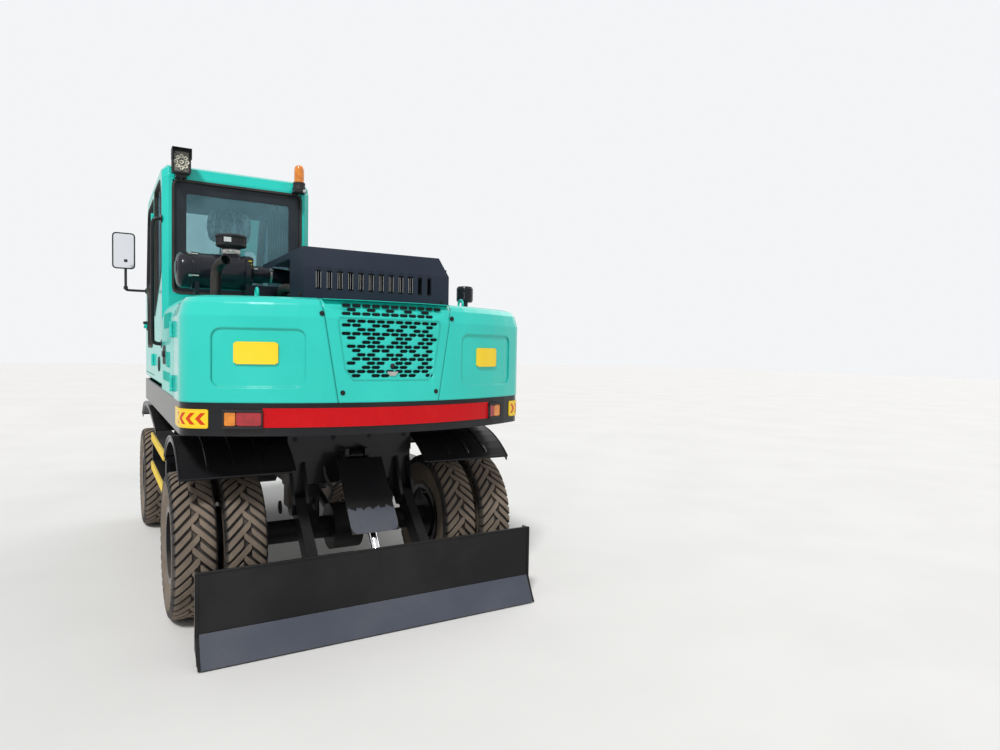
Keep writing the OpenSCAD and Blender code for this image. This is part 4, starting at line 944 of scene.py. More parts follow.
m.rod((-1.845, 0.0, 1.474), (-1.848, 0.0, 1.474), 0.007, 16)
m.prism([(-0.026, 1.4775), (0.026, 1.4775), (0.026, 1.4825), (-0.026, 1.4825)], -1.8475, -1.845, "X")
m.piece("panelCatch", "zincSteel", "upper", "chrome_rod", bevel=0.001)
m = Shape()
for y, z in ((0.385, 1.795), (-0.385, 1.795), (0.275, 1.371), (-0.278, 1.371), (0.0, 1.518)):
    spot = onTailFace(y, z, 0.0)
    m.bolt(spot, (spot[0], spot[1], 0), 0.0085, 0.007)
m.piece("grilleBolts", "castIron", "upper", "cast_dark")
print("tail dressed")


# Black edges of the panes and rubber round the openings
cabin = {"rear": -0.38, "left": 1.04, "right": 0.074, "glassDepth": 0.0225}
panes = {
    "rear": [(0.136, 1.96), (0.978, 1.96), (0.978, 2.712), (0.136, 2.712)],
    "quarter": [(0.3, 1.815), (-0.31, 2.11), (-0.29, 2.62), (-0.2, 2.735), (0.3, 2.745)],
    "right": [(1.18, 1.96), (-0.31, 1.96), (-0.29, 2.62), (-0.2, 2.735), (0.985, 2.74), (1.075, 2.62),
              (1.21, 2.15)],
    "door": [(0.405, 1.74), (0.56, 1.595), (1.05, 1.595), (1.12, 1.98), (1.225, 2.12), (1.08, 2.6),
             (1.04, 2.68), (0.97, 2.715), (0.405, 2.715)]}
# each pane: the wall it is in, the way inwards from it, the axis across it and its border's width
paneWalls = {"rear": ("rear", 1, "X", 0.084), "quarter": ("left", -1, "Y", 0.045),
             "right": ("right", 1, "Y", 0.045), "door": ("left", -1, "Y", 0.045)}


def addPaneEdges(m, name, rubber, rounding=0.05):
    # a black border just outside the pane, or a rounded rubber lip from the pane to past the wall's face
    wall, inwards, axis, wide = paneWalls[name]
    out = cabin[wall]
    deep = out + inwards * cabin["glassDepth"]
    line = roundedOutline(panes[name], rounding)
    if rubber:
        lip = insetOutline(line, 0.01)
        m.frame(insetOutline(line, -0.006), lip, out + inwards * 0.001, out - inwards * 0.0035, axis)
        m.frame(insetOutline(line, 0.0006), lip, deep - inwards * 0.003, out - inwards * 0.0005, axis)
    else:
        inner = roundedOutline(insetOutline(panes[name], wide), rounding * 0.3)
        m.frame(insetOutline(line, 0.0005), inner, deep - inwards * 0.0008, deep - inwards * 0.0032, axis)


paneSets = {"paneBorders": ("rear", "quarter", "right"), "doorPaneBorder": ("door",),
            "paneSeals": ("rear", "quarter", "right"), "doorPaneSeal": ("door",)}
for name, held in paneSets.items():
    rubber = "Seal" in name
    m = Shape()
    for pane in held:
        addPaneEdges(m, pane, rubber)
    if name == "doorPaneBorder":
        m.box((0.41, cabin["left"] - 0.022, 2.085), (1.2, cabin["left"] - 0.015, 2.12))
        m.box((0.792, cabin["left"] - 0.0215, 2.115), (0.822, cabin["left"] - 0.0145, 2.712))
    m.piece(name, "blackRubber" if rubber else "frameBlack", "door" if "door" in name else "upper",
            "cab_plastic", bevel=0.0015 if rubber else 0.0)

# Door handle and the round vent below the quarter pane
m = Shape()
m.prism(roundedBox(1.14, 1.735, 1.255, 1.805, 0.018), 1.0398, 1.044)
m.prism(roundedBox(1.15, 1.79, 1.245, 1.812, 0.008), 1.04, 1.07)
m.rod((1.165, 1.064, 1.765), (1.165, 1.068, 1.765), 0.009, 20)
m.piece("doorHandle", "cabPlastic", "door", "cab_plastic", bevel=0.002)
vent = {"x": -0.12, "z": 1.48, "step": 0.014, "radius": 0.038}
m = Shape()
m.lathe([(0, -0.002), (0.05, -0.002), (0.053, 0.002), (0.05, 0.006), (0.044, 0.007), (0.04, 0.003),
         (0, 0.003)],
        (vent["x"], cabin["left"], vent["z"]), "Y", 40)
for k in range(-2, 3):
    z = vent["z"] + k * vent["step"]
    reach = sqrt(vent["radius"] ** 2 - (k * vent["step"]) ** 2)
    m.box((vent["x"] - reach, 1.0425, z - 0.0025), (vent["x"] + reach, 1.0465, z + 0.0025),
          (radians(25), "X"))
m.piece("roundVent", "cabPlastic", "upper", "cab_plastic")

# Grab rail beside the door
m = Shape()
m.tube([(-0.33, 1.041, 1.62), (-0.33, 1.085, 1.63), (-0.328, 1.095, 1.7), (-0.328, 1.095, 2.3),
        (-0.328, 1.095, 2.38), (-0.33, 1.085, 2.44), (-0.33, 1.041, 2.45)], 0.0125, 14, 5)
for z in (1.62, 2.45):
    m.lathe([(0, -0.001), (0.028, -0.001), (0.028, 0.005), (0.016, 0.008), (0, 0.008)], (-0.33, 1.04, z),
            "Y", 24)
m.piece("grabRail", "blackPaint", "upper", "black_paint")


# Rear work lamp: a finned square box with a visor
lampBox = {"x": (-0.475, -0.405), "y": (0.876, 0.989), "z": (2.738, 2.888), "visor": 0.03, "fins": 7}
(x0, x1), (y0, y1), (z0, z1) = lampBox["x"], lampBox["y"], lampBox["z"]
outline = roundedBox(y0, z0, y1, z1, 0.012)
m = Shape()
m.frame(outline, insetOutline(outline, 0.01), x0 + 0.004, x1, "X")
m.prism(insetOutline(outline, 0.0095), x0 + 0.02, x1, "X")
for k in range(lampBox["fins"]):
    y = y0 + 0.014 + k * (y1 - y0 - 0.028) / (lampBox["fins"] - 1)
    m.box((x1 - 0.002, y - 0.002, z0 + 0.012), (x1 + 0.018, y + 0.002, z1 - 0.012))
visor = [(y0 - 0.002, z1 - 0.06), (y0 - 0.002, z1 + 0.006), (y1 + 0.002, z1 + 0.006), (y1 + 0.002, z1 - 0.06),
         (y1 - 0.0005, z1 - 0.06), (y1 - 0.0005, z1 + 0.0035), (y0 + 0.0005, z1 + 0.0035),
         (y0 + 0.0005, z1 - 0.06)]
m.prism(visor, x0 - lampBox["visor"], x1 - 0.01, "X")
m.prism(roundedBox(0.905, 2.7315, 0.96, 2.742, 0.004), -0.455, -0.425, "X")
m.box((-0.448, 0.9, 2.7145), (-0.384, 0.965, 2.7325))
m.rod((-0.436, 0.932, 2.7), (-0.436, 0.932, 2.738), 0.008, 6)
for z in (2.77, 2.858):
    for y in (y0, y1):
        m.rod((-0.44, y - 0.004, z), (-0.44, y + 0.004, z), 0.006, 6)
m.piece("workLamp", "cabPlastic", "upper", "lamp_plastic", ("lamps",), bevel=0.0015)

# eight lights round a middle one, in a pale reflector; the lights' pale bowls are a painted reflection of
# light in them
m = Shape()
m.prism(insetOutline(outline, 0.0115), x0 + 0.0125, x0 + 0.0185, "X")
m.piece("lampReflector", "reflectorGrey", "upper", "lamp_plastic", bevel=0.001)
bowl = [(0, 0.0), (0.005, 0.0), (0.0075, -0.003), (0.0105, -0.01), (0.012, -0.0105), (0.012, -0.006),
        (0, 0.002)]
m = Shape()
for p, q in [(0, 0)] + [(0.0335 * c, 0.0375 * s) for c, s in circle(8)]:
    m.lathe(bowl, (x0 + 0.0145, (y0 + y1) / 2 + p, (z0 + z1) / 2 - 0.004 + q), "X", 18)
m.piece("lampBowls", "lampPaintedGlint", "upper", "lamp_plastic", smooth=40)

# Amber beacon on its black foot
beacon = (-0.425, 0.163, 2.732)
m = Shape()
m.lathe([(0, 0.002), (0.046, 0.002), (0.047, 0.008), (0.044, 0.02), (0.041, 0.04), (0.043, 0.047),
         (0.043, 0.055), (0.036, 0.058), (0, 0.058)], beacon, "Z", 36)
m.box((-0.47, 0.12, 2.7145), (-0.384, 0.206, 2.7345))
m.rod((-0.4705, 0.163, 2.724), (-0.4765, 0.163, 2.724), 0.007, 6)
m.piece("beaconFoot", "cabPlastic", "upper", "lamp_plastic", bevel=0.0015)
m = Shape()
m.lathe([(0, 0.001), (0.0125, 0.001), (0.0125, -0.004), (0.0095, -0.0065), (0, -0.0075)],
        (-0.4705, 0.136, 2.724), "X", 24)
m.piece("footLens", "clearLens", "upper", "lamp_plastic", smooth=50)
dome = [(0, 0.058), (0.0355, 0.058), (0.036, 0.066)]
dome += [(0.035 - 0.0012 * (k % 2), 0.07 + k * 0.0065) for k in range(12)]
dome += [(0.0335, 0.152), (0.031, 0.164), (0.025, 0.174), (0.014, 0.18), (0, 0.182)]
m = Shape()
m.lathe(dome, beacon, "Z", 48)
m.piece("beaconDome", "amberLens", "upper", "lamp_plastic", smooth=50)
print("cab trimmed")


# Hood: bars in the slots and a screen behind them, pressed notches above, rims round them and bolts
hood = {"back": -1.57, "slots": 12, "pitch": 0.062, "barLow": 1.95, "barHigh": 0.09}
back, pitch = hood["back"], hood["pitch"]
bars = Shape()
for off, deep in ((-0.013, -0.003), (0.0, 0.003), (0.013, -0.003)):
    bars.box((deep, off - 0.001, 0.0), (deep + 0.004, off + 0.001, hood["barHigh"]))
values = {"columns": 10, "rows": 1, "start": (back + 0.001, -3.5 * pitch, hood["barLow"]),
          "columnStep": (0.0, pitch, 0.0)}
repeat("slotBars", "rows", bars, values, "zincSteel", "hood")
m = Shape()
m.box((back + 0.026, -0.47, 1.895), (back + 0.031, 0.416, 2.11))
for k in range(40):
    y = -0.46 + k * 0.0222
    m.box((back + 0.022, y - 0.0015, 1.9), (back + 0.028, y + 0.0015, 2.105))
m.piece("slotScreen", "deepShade", "hood", "hood_paint")
notches, rims = Shape(), Shape()
for k in range(hood["slots"]):
    y = (k - 5.5) * pitch
    notches.prism(roundedBox(y - 0.011, 2.062, y + 0.011, 2.07, 0.003, 2), back - 0.0012, back + 0.002, "X")
    wide = 0.017 if 1 < k < 10 else 0.013
    outer = roundedBox(y - wide, 1.944, y + wide, 2.05, 0.005, 2)
    rims.frame(outer, roundedBox(y - 0.0092, 1.9515, y + 0.0092, 2.0425, 0.004, 2), back - 0.0018,
               back + 0.002, "X")
notches.piece("slotNotches", "hoodPaint", "hood", "hood_paint")
rims.piece("slotEdges", "deepShade", "hood", "hood_paint")
boltSpots = [((back, -0.425, 1.905), (-1, 0, 0)), ((back, 0.44, 1.905), (-1, 0, 0)),
             ((-1.45, 0.475, 1.905), (0, 1, 0))]
boltSpots += [((x, -0.475, 1.905), (0, -1, 0)) for x in (-1.45, -1.25, -0.55)]
m = Shape()
for spot, along in boltSpots:
    m.bolt(spot, along, 0.007, 0.006)
for x in (-1.4, -1.05, -0.7):
    for y in (-0.36, 0.36):
        m.bolt((x, y, 2.18), (0, 0, 1), 0.008, 0.006)
m.piece("hoodBolts", "castIron", "hood", "cast_dark")


# Air cleaner with its end cup and cradle, the elbow, the breather and the pre-cleaner on its clamped neck
cleaner = {"x": -0.7, "z": 2.085, "neckY": 0.664, "breather": (-0.9, -0.94, 1.88), "cradles": (0.575, 0.875)}
cx, cz = cleaner["x"], cleaner["z"]
neck = (cx, cleaner["neckY"], cz)
m = Shape()
m.lathe([(0, 0.991), (0.06, 0.99), (0.09, 0.983), (0.106, 0.97), (0.112, 0.955), (0.112, 0.905),
         (0.1165, 0.903), (0.1165, 0.89), (0.112, 0.888), (0.112, 0.78), (0.1145, 0.778), (0.1145, 0.77),
         (0.112, 0.768), (0.112, 0.608), (0.109, 0.58), (0.098, 0.556), (0.076, 0.541), (0.056, 0.536),
         (0.056, 0.47), (0, 0.47)],
        (cx, 0, cz), "Y", 64)
m.lathe([(0, 0.0), (0.046, 0.0), (0.046, 0.008), (0.036, 0.012), (0, 0.012)],
        (cx - 0.02, 0.984, cz + 0.01), "Y", 32)
for y in cleaner["cradles"]:
    m.box((cx - 0.085, y - 0.018, 1.8805), (cx + 0.085, y + 0.018, 1.888))
    m.prism([(cx - 0.075, 1.886), (cx + 0.075, 1.886), (cx + 0.095, 2.045), (cx + 0.06, 2.005), (cx, 1.982),
             (cx - 0.06, 2.005), (cx - 0.095, 2.045)], y - 0.012, y + 0.012)
    m.lathe([(0.1125, y - 0.016), (0.1155, y - 0.016), (0.1155, y + 0.016), (0.1125, y + 0.016)],
            (cx, 0, cz), "Y", 64, True)
m.tube([(cx, 0.48, 2.085), (cx, 0.36, 2.085), (cx, 0.3, 2.07), (cx, 0.272, 2.01), (cx, 0.268, 1.93),
        (cx, 0.268, 1.822)],
       0.05, 24, 5)
m.lathe([(0, 0.05), (0.096, 0.05), (0.084, 0.088), (0.066, 0.104), (0.052, 0.112), (0.05, 0.157),
         (0, 0.157)], neck, "Z", 36)
m.lathe([(0, 0.0), (0.024, 0.0), (0.024, 0.082), (0.052, 0.086), (0.06, 0.096), (0.06, 0.19), (0.052, 0.202),
         (0.02, 0.206), (0, 0.206)], cleaner["breather"], "Z", 40)
for z in (0.1 + k * 0.01 for k in range(9)):
    ridge = [(0.06, z), (0.0622, z + 0.002), (0.0622, z + 0.006), (0.06, z + 0.008)]
    m.lathe(ridge, cleaner["breather"], "Z", 40, True)
m.piece("airCleaner", "drumBlack", "upper", "black_paint", ("air_cleaner",), smooth=35)

m = Shape()
m.lathe([(0, 0.156), (0.058, 0.156), (0.062, 0.16), (0.088, 0.166), (0.093, 0.172), (0.093, 0.182),
         (0.0895, 0.184), (0.0895, 0.222), (0.0955, 0.226), (0.0955, 0.234), (0.09, 0.241), (0.06, 0.246),
         (0.03, 0.248), (0, 0.248)],
        neck, "Z", 56)
for k, (c, s) in enumerate(circle(16)):
    spot = Vector(neck) + Vector((c * 0.0905, s * 0.0905, 0.203))
    half = Vector((0.0025, 0.0025, 0.017))
    m.box(spot - half, spot + half, (k * pi / 8, "Z"))
m.piece("preCleaner", "cabPlastic", "upper", "black_paint", smooth=35)

m = Shape()
m.lathe([(0.0505, 0.118), (0.0545, 0.118), (0.056, 0.122), (0.056, 0.144), (0.0545, 0.148), (0.0505, 0.148)],
        neck, "Z", 48, True)
m.rod((cx - 0.062, 0.66, 2.219), (cx - 0.062, 0.705, 2.219), 0.006, 12)
m.box((cx - 0.068, 0.67, 2.212), (cx - 0.05, 0.684, 2.226))
for y in (0.52, 0.42):
    m.lathe([(0.0505, y - 0.006), (0.0545, y - 0.006), (0.0545, y + 0.006), (0.0505, y + 0.006)],
            (cx, 0, cz), "Y", 40, True)
    m.rod((cx - 0.05, y - 0.012, 2.116), (cx - 0.05, y + 0.012, 2.116), 0.006, 10)
for a in (radians(200 - k * 75) for k in range(3)):
    spot = Vector((cx + cos(a) * 0.119, 0.897, cz + sin(a) * 0.119))
    m.rod(spot + Vector((0, 0.03, 0)), spot - Vector((0, 0.028, 0)), 0.0045, 8)
    m.box(spot + Vector((-0.006, 0.012, -0.006)), spot + Vector((0.006, 0.03, 0.006)), (-a, "Y"))
m.piece("cleanerClips", "zincSteel", "upper", "chrome_rod", smooth=35)

# Exhaust: a bent pipe with an open slanting mouth
mouth = Vector((-1.088, 0.76, 2.118))
bent = Vector((-0.87, -0.38, 0.22)).normalized()
side = bent.cross(Vector((0, 0, 1))).normalized()
over = bent.cross(side)


def mouthRings(stations):
    return [[mouth + bent * (along + 0.003) + (side * c + over * s) * radius for c, s in circle(28)]
            for radius, along in stations]


m = Shape()
m.tube([(-1.01, 0.8, 1.881), (-1.01, 0.8, 1.96), (-1.01, 0.799, 2.03), (-1.018, 0.793, 2.075),
        (-1.046, 0.779, 2.104), mouth], 0.03, 28, 5, True)
m.skin(mouthRings(((0.03, -0.003), (0.0318, 0.001), (0.0318, 0.006), (0.029, 0.006), (0.0285, -0.012))),
       (False, False))
m.lathe([(0.029, 0), (0.062, 0), (0.062, 0.006), (0.032, 0.008)], (-1.01, 0.8, 1.8805), "Z", 36, True)
m.piece("exhaustPipe", "pipeSteel", "upper", "exhaust_steel", ("exhaust_pipe",), smooth=40)
# a near-black cone closing the pipe just inside its mouth: painted shade in the pipe
m = Shape()
m.skin(mouthRings(((0.0292, 0.0), (0.027, -0.02), (0.023, -0.036), (0.0001, -0.042))), (False, False),
       flip=True)
bmesh.ops.remove_doubles(m.bm, verts=m.bm.verts, dist=0.0003)
dress("exhaustThroat", m.mesh("exhaustThroat"), "slotDark", "upper", smooth=60)
print("engine bay furnished")


# Side doors: rows of pressed slots and a latch in its recess
sideDoor = {"face": 1.044, "slotStep": 0.0285, "latch": (-0.67, 1.49, -0.5, 1.61), "latchZ": (1.536, 1.574),
            "rows": {"top": (-1.02, 1.76, 16, 1.0), "low": (-0.97, 1.525, 9, 1.0),
                     "foot": (-0.97, 1.42, 17, 0.62)}}
for side, label in ((1, "left"), (-1, "right")):
    face = sideDoor["face"] * side
    body = label + "_side_door"
    louvres = []
    for name, (x, z, columns, tall) in sideDoor["rows"].items():
        outline = roundedBox(-0.0075, -0.046, 0.0075, 0.046, 0.007, 3)
        unit = Shape()
        unit.frame(outline, insetOutline(outline, 0.0022), -0.001 * side, 0.0016 * side)
        bmesh.ops.scale(unit.bm, vec=(1, 1, tall), verts=unit.bm.verts)
        values = {"columns": columns, "rows": 1, "start": (x, face, z),
                  "columnStep": (sideDoor["slotStep"], 0.0, 0.0)}
        louvres.append(repeat("louvres_" + name + label, "rows", unit, values, "tealPaint", body))
    joined("sideLouvres_" + label, louvres)
    x0, z0, x1, z1 = sideDoor["latch"]
    low, high = sideDoor["latchZ"]
    outline = roundedBox(x0, z0, x1, z1, 0.016)
    m = Shape()
    m.frame(outline, insetOutline(outline, 0.01), face - side * 0.002, face + side * 0.0035)
    m.prism(insetOutline(outline, 0.0095), face - side * 0.002, face + side * 0.0008)
    m.prism(roundedBox(x0 + 0.03, low, x1 - 0.03, high, 0.01), face, face + side * 0.012)
    m.rod((x0 + 0.052, face + side * 0.011, 1.555), (x0 + 0.052, face + side * 0.015, 1.555), 0.008, 20)
    m.piece("sideLatch_" + label, "cabPlastic", body, "teal_paint", bevel=0.0015)

# Lifting rings on their feet
m = Shape()
for x, y in ((-1.3, 0.62), (-1.3, -0.7)):
    m.lathe([(0.03 + 0.0078 * c, 0.0078 * s) for c, s in circle(12)], (x, y, 1.918), "Y", 40, True)
    m.lathe([(0, 0), (0.02, 0), (0.02, 0.004), (0.0085, 0.008), (0.0085, 0.014), (0, 0.014)],
            (x, y, 1.8795), "Z", 24)
m.piece("liftingRings", "tealPaint", "upper", "teal_paint", ("lifting_eyes",), smooth=50)


# Step treads: yellow plates with rows of raised holes
tread = {"x": (-0.37, 0.805), "face": 1.034, "z": ((0.605, 0.661), (0.839, 0.895)), "pitch": 0.034}
hole, dark = Shape(), Shape()
hole.lathe([(0.0065, -0.004), (0.0065, 0.001), (0.0085, 0.0022), (0.0115, 0.0008), (0.0125, -0.004)],
           (0, 0, 0), "Y", 14, True)
# near-black discs closing the holes: painted shade in them
dark.lathe([(0, -0.004), (0.0068, -0.004), (0.0068, 0.0004), (0, 0.0004)], (0, 0, 0), "Y", 12)
edges = Shape()
piles = {"treadYellow": [], "slotDark": []}
for side, turn in ((1, 0.0), (-1, pi)):
    for k, (z0, z1) in enumerate(tread["z"]):
        values = {"columns": 34, "rows": 2, "start": (tread["x"][0] + 0.02, side * tread["face"], z0 + 0.016),
                  "columnStep": (tread["pitch"], 0.0, 0.0), "rowStep": (0.0, 0.0, 0.024),
                  "oddShift": (tread["pitch"] / 2, 0.0, 0.0), "turn": (0.0, 0.0, turn)}
        for unit, (finish, pile) in zip((hole, dark), piles.items()):
            pile.append(repeat("tread" + finish + str(side) + str(k), "rows", unit, values, finish,
                               "chassis"))
        for low, high in ((z0 - 0.002, z0 + 0.004), (z1 - 0.004, z1 + 0.002)):
            near, far = sorted((side * 1.02, side * 1.036))
            edges.box((tread["x"][0], near, low), (tread["x"][1], far, high))
joined("treadRings", piles["treadYellow"])
joined("treadWells", piles["slotDark"])
edges.piece("treadEdges", "treadYellow", "chassis", "tread_yellow", bevel=0.001)

# Fenders: pressed ribs across the sheets, rolled edges
frontTop = [(2.02, 0.95), (1.9, 1.015), (1.76, 1.072), (1.5, 1.106), (1.14, 1.095), (0.7, 1.035),
            (0.33, 0.975)]
rearTop = [(-0.93 + 0.67 * cos(radians(47 + 86 * i / 14)), 0.4 + 0.67 * sin(radians(47 + 86 * i / 14)))
           for i in range(15)]


def onSheet(points, share):
    # the point at a share of the line's length, and the line's slope there
    pairs = list(zip(points, points[1:]))
    run = share * sum(dist(a, c) for a, c in pairs)
    for a, c in pairs:
        slope = atan2(c[1] - a[1], c[0] - a[0])
        t = run / dist(a, c)
        if t <= 1:
            return (a[0] + (c[0] - a[0]) * t, a[1] + (c[1] - a[1]) * t), slope
        run -= dist(a, c)
    return points[-1], slope


m = Shape()
for points, inner in ((frontTop, 0.36), (rearTop, 0.44)):
    line = [onSheet(points, 0.03 + 0.94 * k / 24) for k in range(25)]
    rim = [onSheet(points, k / 30)[0] for k in range(31)]
    for side in (1, -1):
        for y in (0.6, 0.74, 0.88):
            rings = []
            for k, ((x, z), turn) in enumerate(line):
                over = Vector((sin(turn), 0, -cos(turn)))
                over = over if over.z > 0 else -over
                high = 0.0042 if 0 < k < 24 else -0.001
                section = ((-0.016, -0.003), (-0.009, high), (0.009, high), (0.016, -0.003))
                rings.append([Vector((x, side * (y + p), z)) + over * q for p, q in section])
            m.skin(rings)
        for x, z in (points[0], points[-1]):
            m.rod((x, side * inner, z - 0.006), (x, side * 1.036, z - 0.006), 0.0085, 12)
        m.tube([(x, side * 1.034, z - 0.004) for x, z in rim], 0.0075, 10, 1)
m.piece("fenderRibs", "blackPaint", "chassis", "black_paint", smooth=40)

# Chassis: bolts, the caps of the blade's pins, hoses to the blade cylinder
m = Shape()
for y in (-0.36, -0.12, 0.12, 0.36):
    m.bolt((-1.15, y, 1.04), (-1, 0, 0), 0.01, 0.009)
for y, side in ((-0.456, -1), (-0.245, -1), (0.245, 1), (0.456, 1)):
    m.lathe([(0, 0), (0.04, 0), (0.04, side * 0.008), (0.034, side * 0.01), (0, side * 0.01)],
            (-1.2, y, 0.64), "Y", 28)
for x in (-1.03, -0.93):
    for y in (0.2, 0.26, -0.2, -0.26):
        m.bolt((x, y, 0.512), (0, 0, 1), 0.012, 0.014)
m.piece("chassisBolts", "castIron", "chassis", "cast_dark")

hoseLine = ((-1.14, 3.4, 0.86), (-1.17, 3.3, 0.8), (-1.185, 2.6, 0.73), (-1.175, 1.9, 0.745),
            (-1.2, 1.15, 0.8))
m = Shape()
for y in (-0.052, 0.052):
    m.tube([(x, y * spread, z) for x, spread, z in hoseLine], 0.011, 12, 5)
m.piece("bladeHoses", "hoseRubber", "chassis", "black_paint")

# Guard plate over the blade's cylinder: its lower third rubbed bare, with a round end
guard = {"base": Vector((-1.215, 0.93)), "eye": Vector((-1.665, 0.36)), "half": 0.1465, "from": 0.405,
         "to": 0.518, "round": 0.045, "steps": 24}
reach = (guard["eye"] - guard["base"]).normalized()
outward = Vector((reach.y, -reach.x))
rings = []
for out in (0.0695, 0.0712):
    ring = []
    for k in range(guard["steps"] + 1):
        y = -guard["half"] + 2 * guard["half"] * k / guard["steps"]
        ring.append((y, guard["from"] + 0.01 * sin(k * 1.3) + 0.006 * sin(k * 2.9)))
    for k in range(guard["steps"] + 1):
        y = guard["half"] - 2 * guard["half"] * k / guard["steps"]
        away = max(0.0, abs(y) - guard["half"] + guard["round"])
        ring.append((y, guard["to"] + sqrt(max(0.0, guard["round"] ** 2 - away ** 2))))
    spots = [(y, guard["base"] + reach * along + outward * out) for y, along in ring]
    rings.append([(spot.x, y, spot.y) for y, spot in spots])
m = Shape()
m.skin(rings, flip=True)
m.piece("guardWear", "lipSteel", "blade_barrel", "black_paint")

# Slewing ring: a ring of bolt heads
bolt = Shape()
bolt.rod((0, 0, -0.002), (0, 0, 0.012), 0.011, 6)
values = {"count": 36, "radius": 0.4865, "height": 1.01}
repeat("ringBolts", "upright", bolt, values, "castIron", "chassis")


# Blade: the lighter lip, edge strips and ribs
blade = {"x": -1.741, "top": 0.47, "fold": 0.152, "low": 0.008, "lipX": -1.823}
bx, top, fold = blade["x"], blade["top"], blade["fold"]
lip = [(bx - 0.0035, fold + 0.012), (blade["lipX"] - 0.0035, blade["low"] + 0.001),
       (blade["lipX"] + 0.004, blade["low"] + 0.0005), (bx + 0.002, fold + 0.004)]
m = Shape()
m.prism(lip, -0.978, 0.978)
m.piece("bladeLip", "lipSteel", "dozer_blade", "black_paint", bevel=0.0012)
m = Shape()
m.tube([(bx + 0.001, y, top) for y in (-0.992, 0.0, 0.992)], 0.0065, 10, 1)
for side in (1, -1):
    m.prism([(bx - 0.004, top + 0.002), (bx - 0.004, fold), (bx - 0.062, 0.028), (bx - 0.055, 0.022),
             (bx + 0.006, 0.14), (bx + 0.006, top + 0.002)], side * 0.9935, side * 0.9965)
    m.box((bx - 0.0045, side * 0.986 - 0.006, fold), (bx + 0.002, side * 0.986 + 0.006, top + 0.001))
for y in (-0.66, 0.66):
    m.prism([(bx + 0.022, 0.45), (bx + 0.022, 0.175), (bx + 0.06, 0.21), (bx + 0.045, 0.43)], y - 0.008,
            y + 0.008)
for start, end in ((-0.975, -0.165), (0.165, 0.975)):
    m.prism([(bx + 0.02, 0.47), (bx + 0.02, 0.44), (bx + 0.07, 0.432), (bx + 0.07, 0.44), (bx + 0.03, 0.449),
             (bx + 0.03, 0.47)], start, end)
m.piece("bladeEdges", "bladePaint", "dozer_blade", "black_paint", bevel=0.0015)


# Arm set: welds, pin caps, grease points, pipes and clamps
armSet = {"y": -0.24, "boomHalf": 0.12, "stickHalf": 0.075}
armY = armSet["y"]


def traced(y, start, end, steps, off=0.0):
    # points along the upper face of the boom, off metres away from it
    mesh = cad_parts["boom"].data
    skin = BVHTree.FromPolygons([v.co for v in mesh.vertices], [p.vertices for p in mesh.polygons])
    line = []
    for i in range(steps + 1):
        spot, normal, *rest = skin.ray_cast(Vector((start + (end - start) * i / steps, y, 4.5)),
                                            Vector((0, 0, -1)))
        if spot is not None:
            line.append(spot + normal * off)
    return line


m = Shape()
for y in (armY + armSet["boomHalf"] - 0.002, armY - armSet["boomHalf"] + 0.002):
    m.tube(traced(y, 1.08, 2.95, 24), 0.006, 8, 2)
    m.tube(traced(y, 3.35, 4.22, 3), 0.006, 8, 2)
m.piece("boomWelds", "tealPaint", "boom_arm", "teal_paint", smooth=60)
stickLines = ([(4.35, 3.27), (4.47, 3.3), (4.69, 3.02), (4.66, 2.5), (4.57, 1.5), (4.56, 1.34)],
              [(4.4, 1.34), (4.39, 1.5), (4.34, 2.6), (4.35, 2.87)])
m = Shape()
for y in (armY + armSet["stickHalf"] - 0.001, armY - armSet["stickHalf"] + 0.001):
    for line in stickLines:
        m.tube([(x, y, z) for x, z in line], 0.0055, 8, 3)
m.piece("stickWelds", "tealPaint", "stick", "teal_paint", smooth=60)

# pins: x, z, distance from the middle and radius
# the caps' profile: shares of the radius, and distance outwards
pins = {"boomPins": ("castIron", "boom_arm", ((1.0, 1.5, 0.154, 0.03), (2.4, 2.33, 0.08, 0.026))),
        "stickPins": ("castIron", "stick", ((4.45, 3.0, 0.129, 0.032), (4.38, 3.39, 0.08, 0.026))),
        "bucketPins": ("zincSteel", "digging_bucket", ((4.48, 1.34, 0.106, 0.03),
                                                       (4.77, 1.31, 0.116, 0.024)))}
capProfile = ((0, -0.006), (1.45, -0.006), (1.45, 0.008), (1.32, 0.011), (0.9, 0.011), (0.9, 0.004),
              (0.35, 0.004), (0.22, 0.016), (0, 0.017))
for name, (finish, body, caps) in pins.items():
    m = Shape()
    for x, z, reach, radius in caps:
        for side in (1, -1):
            y = armY + side * reach
            m.lathe([(radius * share, side * out) for share, out in capProfile], (x, y, z), "Y", 32)
            m.bolt((x + radius * 1.15, y + side * 0.006, z), (0, side, 0), 0.0065, 0.01, False)
    m.piece(name, finish, body, "cast_dark", smooth=35)

m = Shape()
for y in (-0.3, -0.262, -0.218, -0.18):
    m.tube(traced(y, 1.12, 2.8, 16, 0.0085), 0.0105, 12, 2)
m.piece("boomPipes", "zincSteel", "boom_arm", "chrome_rod", smooth=50)
m = Shape()
for x in (1.4, 1.85, 2.3, 2.68):
    low, high = traced(armY, x - 0.025, x + 0.025, 1, 0.01)
    middle, lean = (low + high) / 2, atan2(high.z - low.z, high.x - low.x)
    m.box((middle.x - 0.025, -0.322, middle.z - 0.014), (middle.x + 0.025, -0.158, middle.z + 0.014),
          (-lean, "Y"))
m.piece("pipeClamps", "blackPaint", "boom_arm", "black_paint", bevel=0.002)
print("arm set finished")


# Bucket: wear plates, side cutters and tooth caps
bucket = {"turn": radians(35), "pin": (4.48, 1.34), "half": 0.38, "round": (0.19, -0.6), "teeth": 5,
          "pitch": 0.1675}


def inBucket(x, z):
    c, s = cos(bucket["turn"]), sin(bucket["turn"])
    return (bucket["pin"][0] + x * c + z * s, bucket["pin"][1] + z * c - x * s)


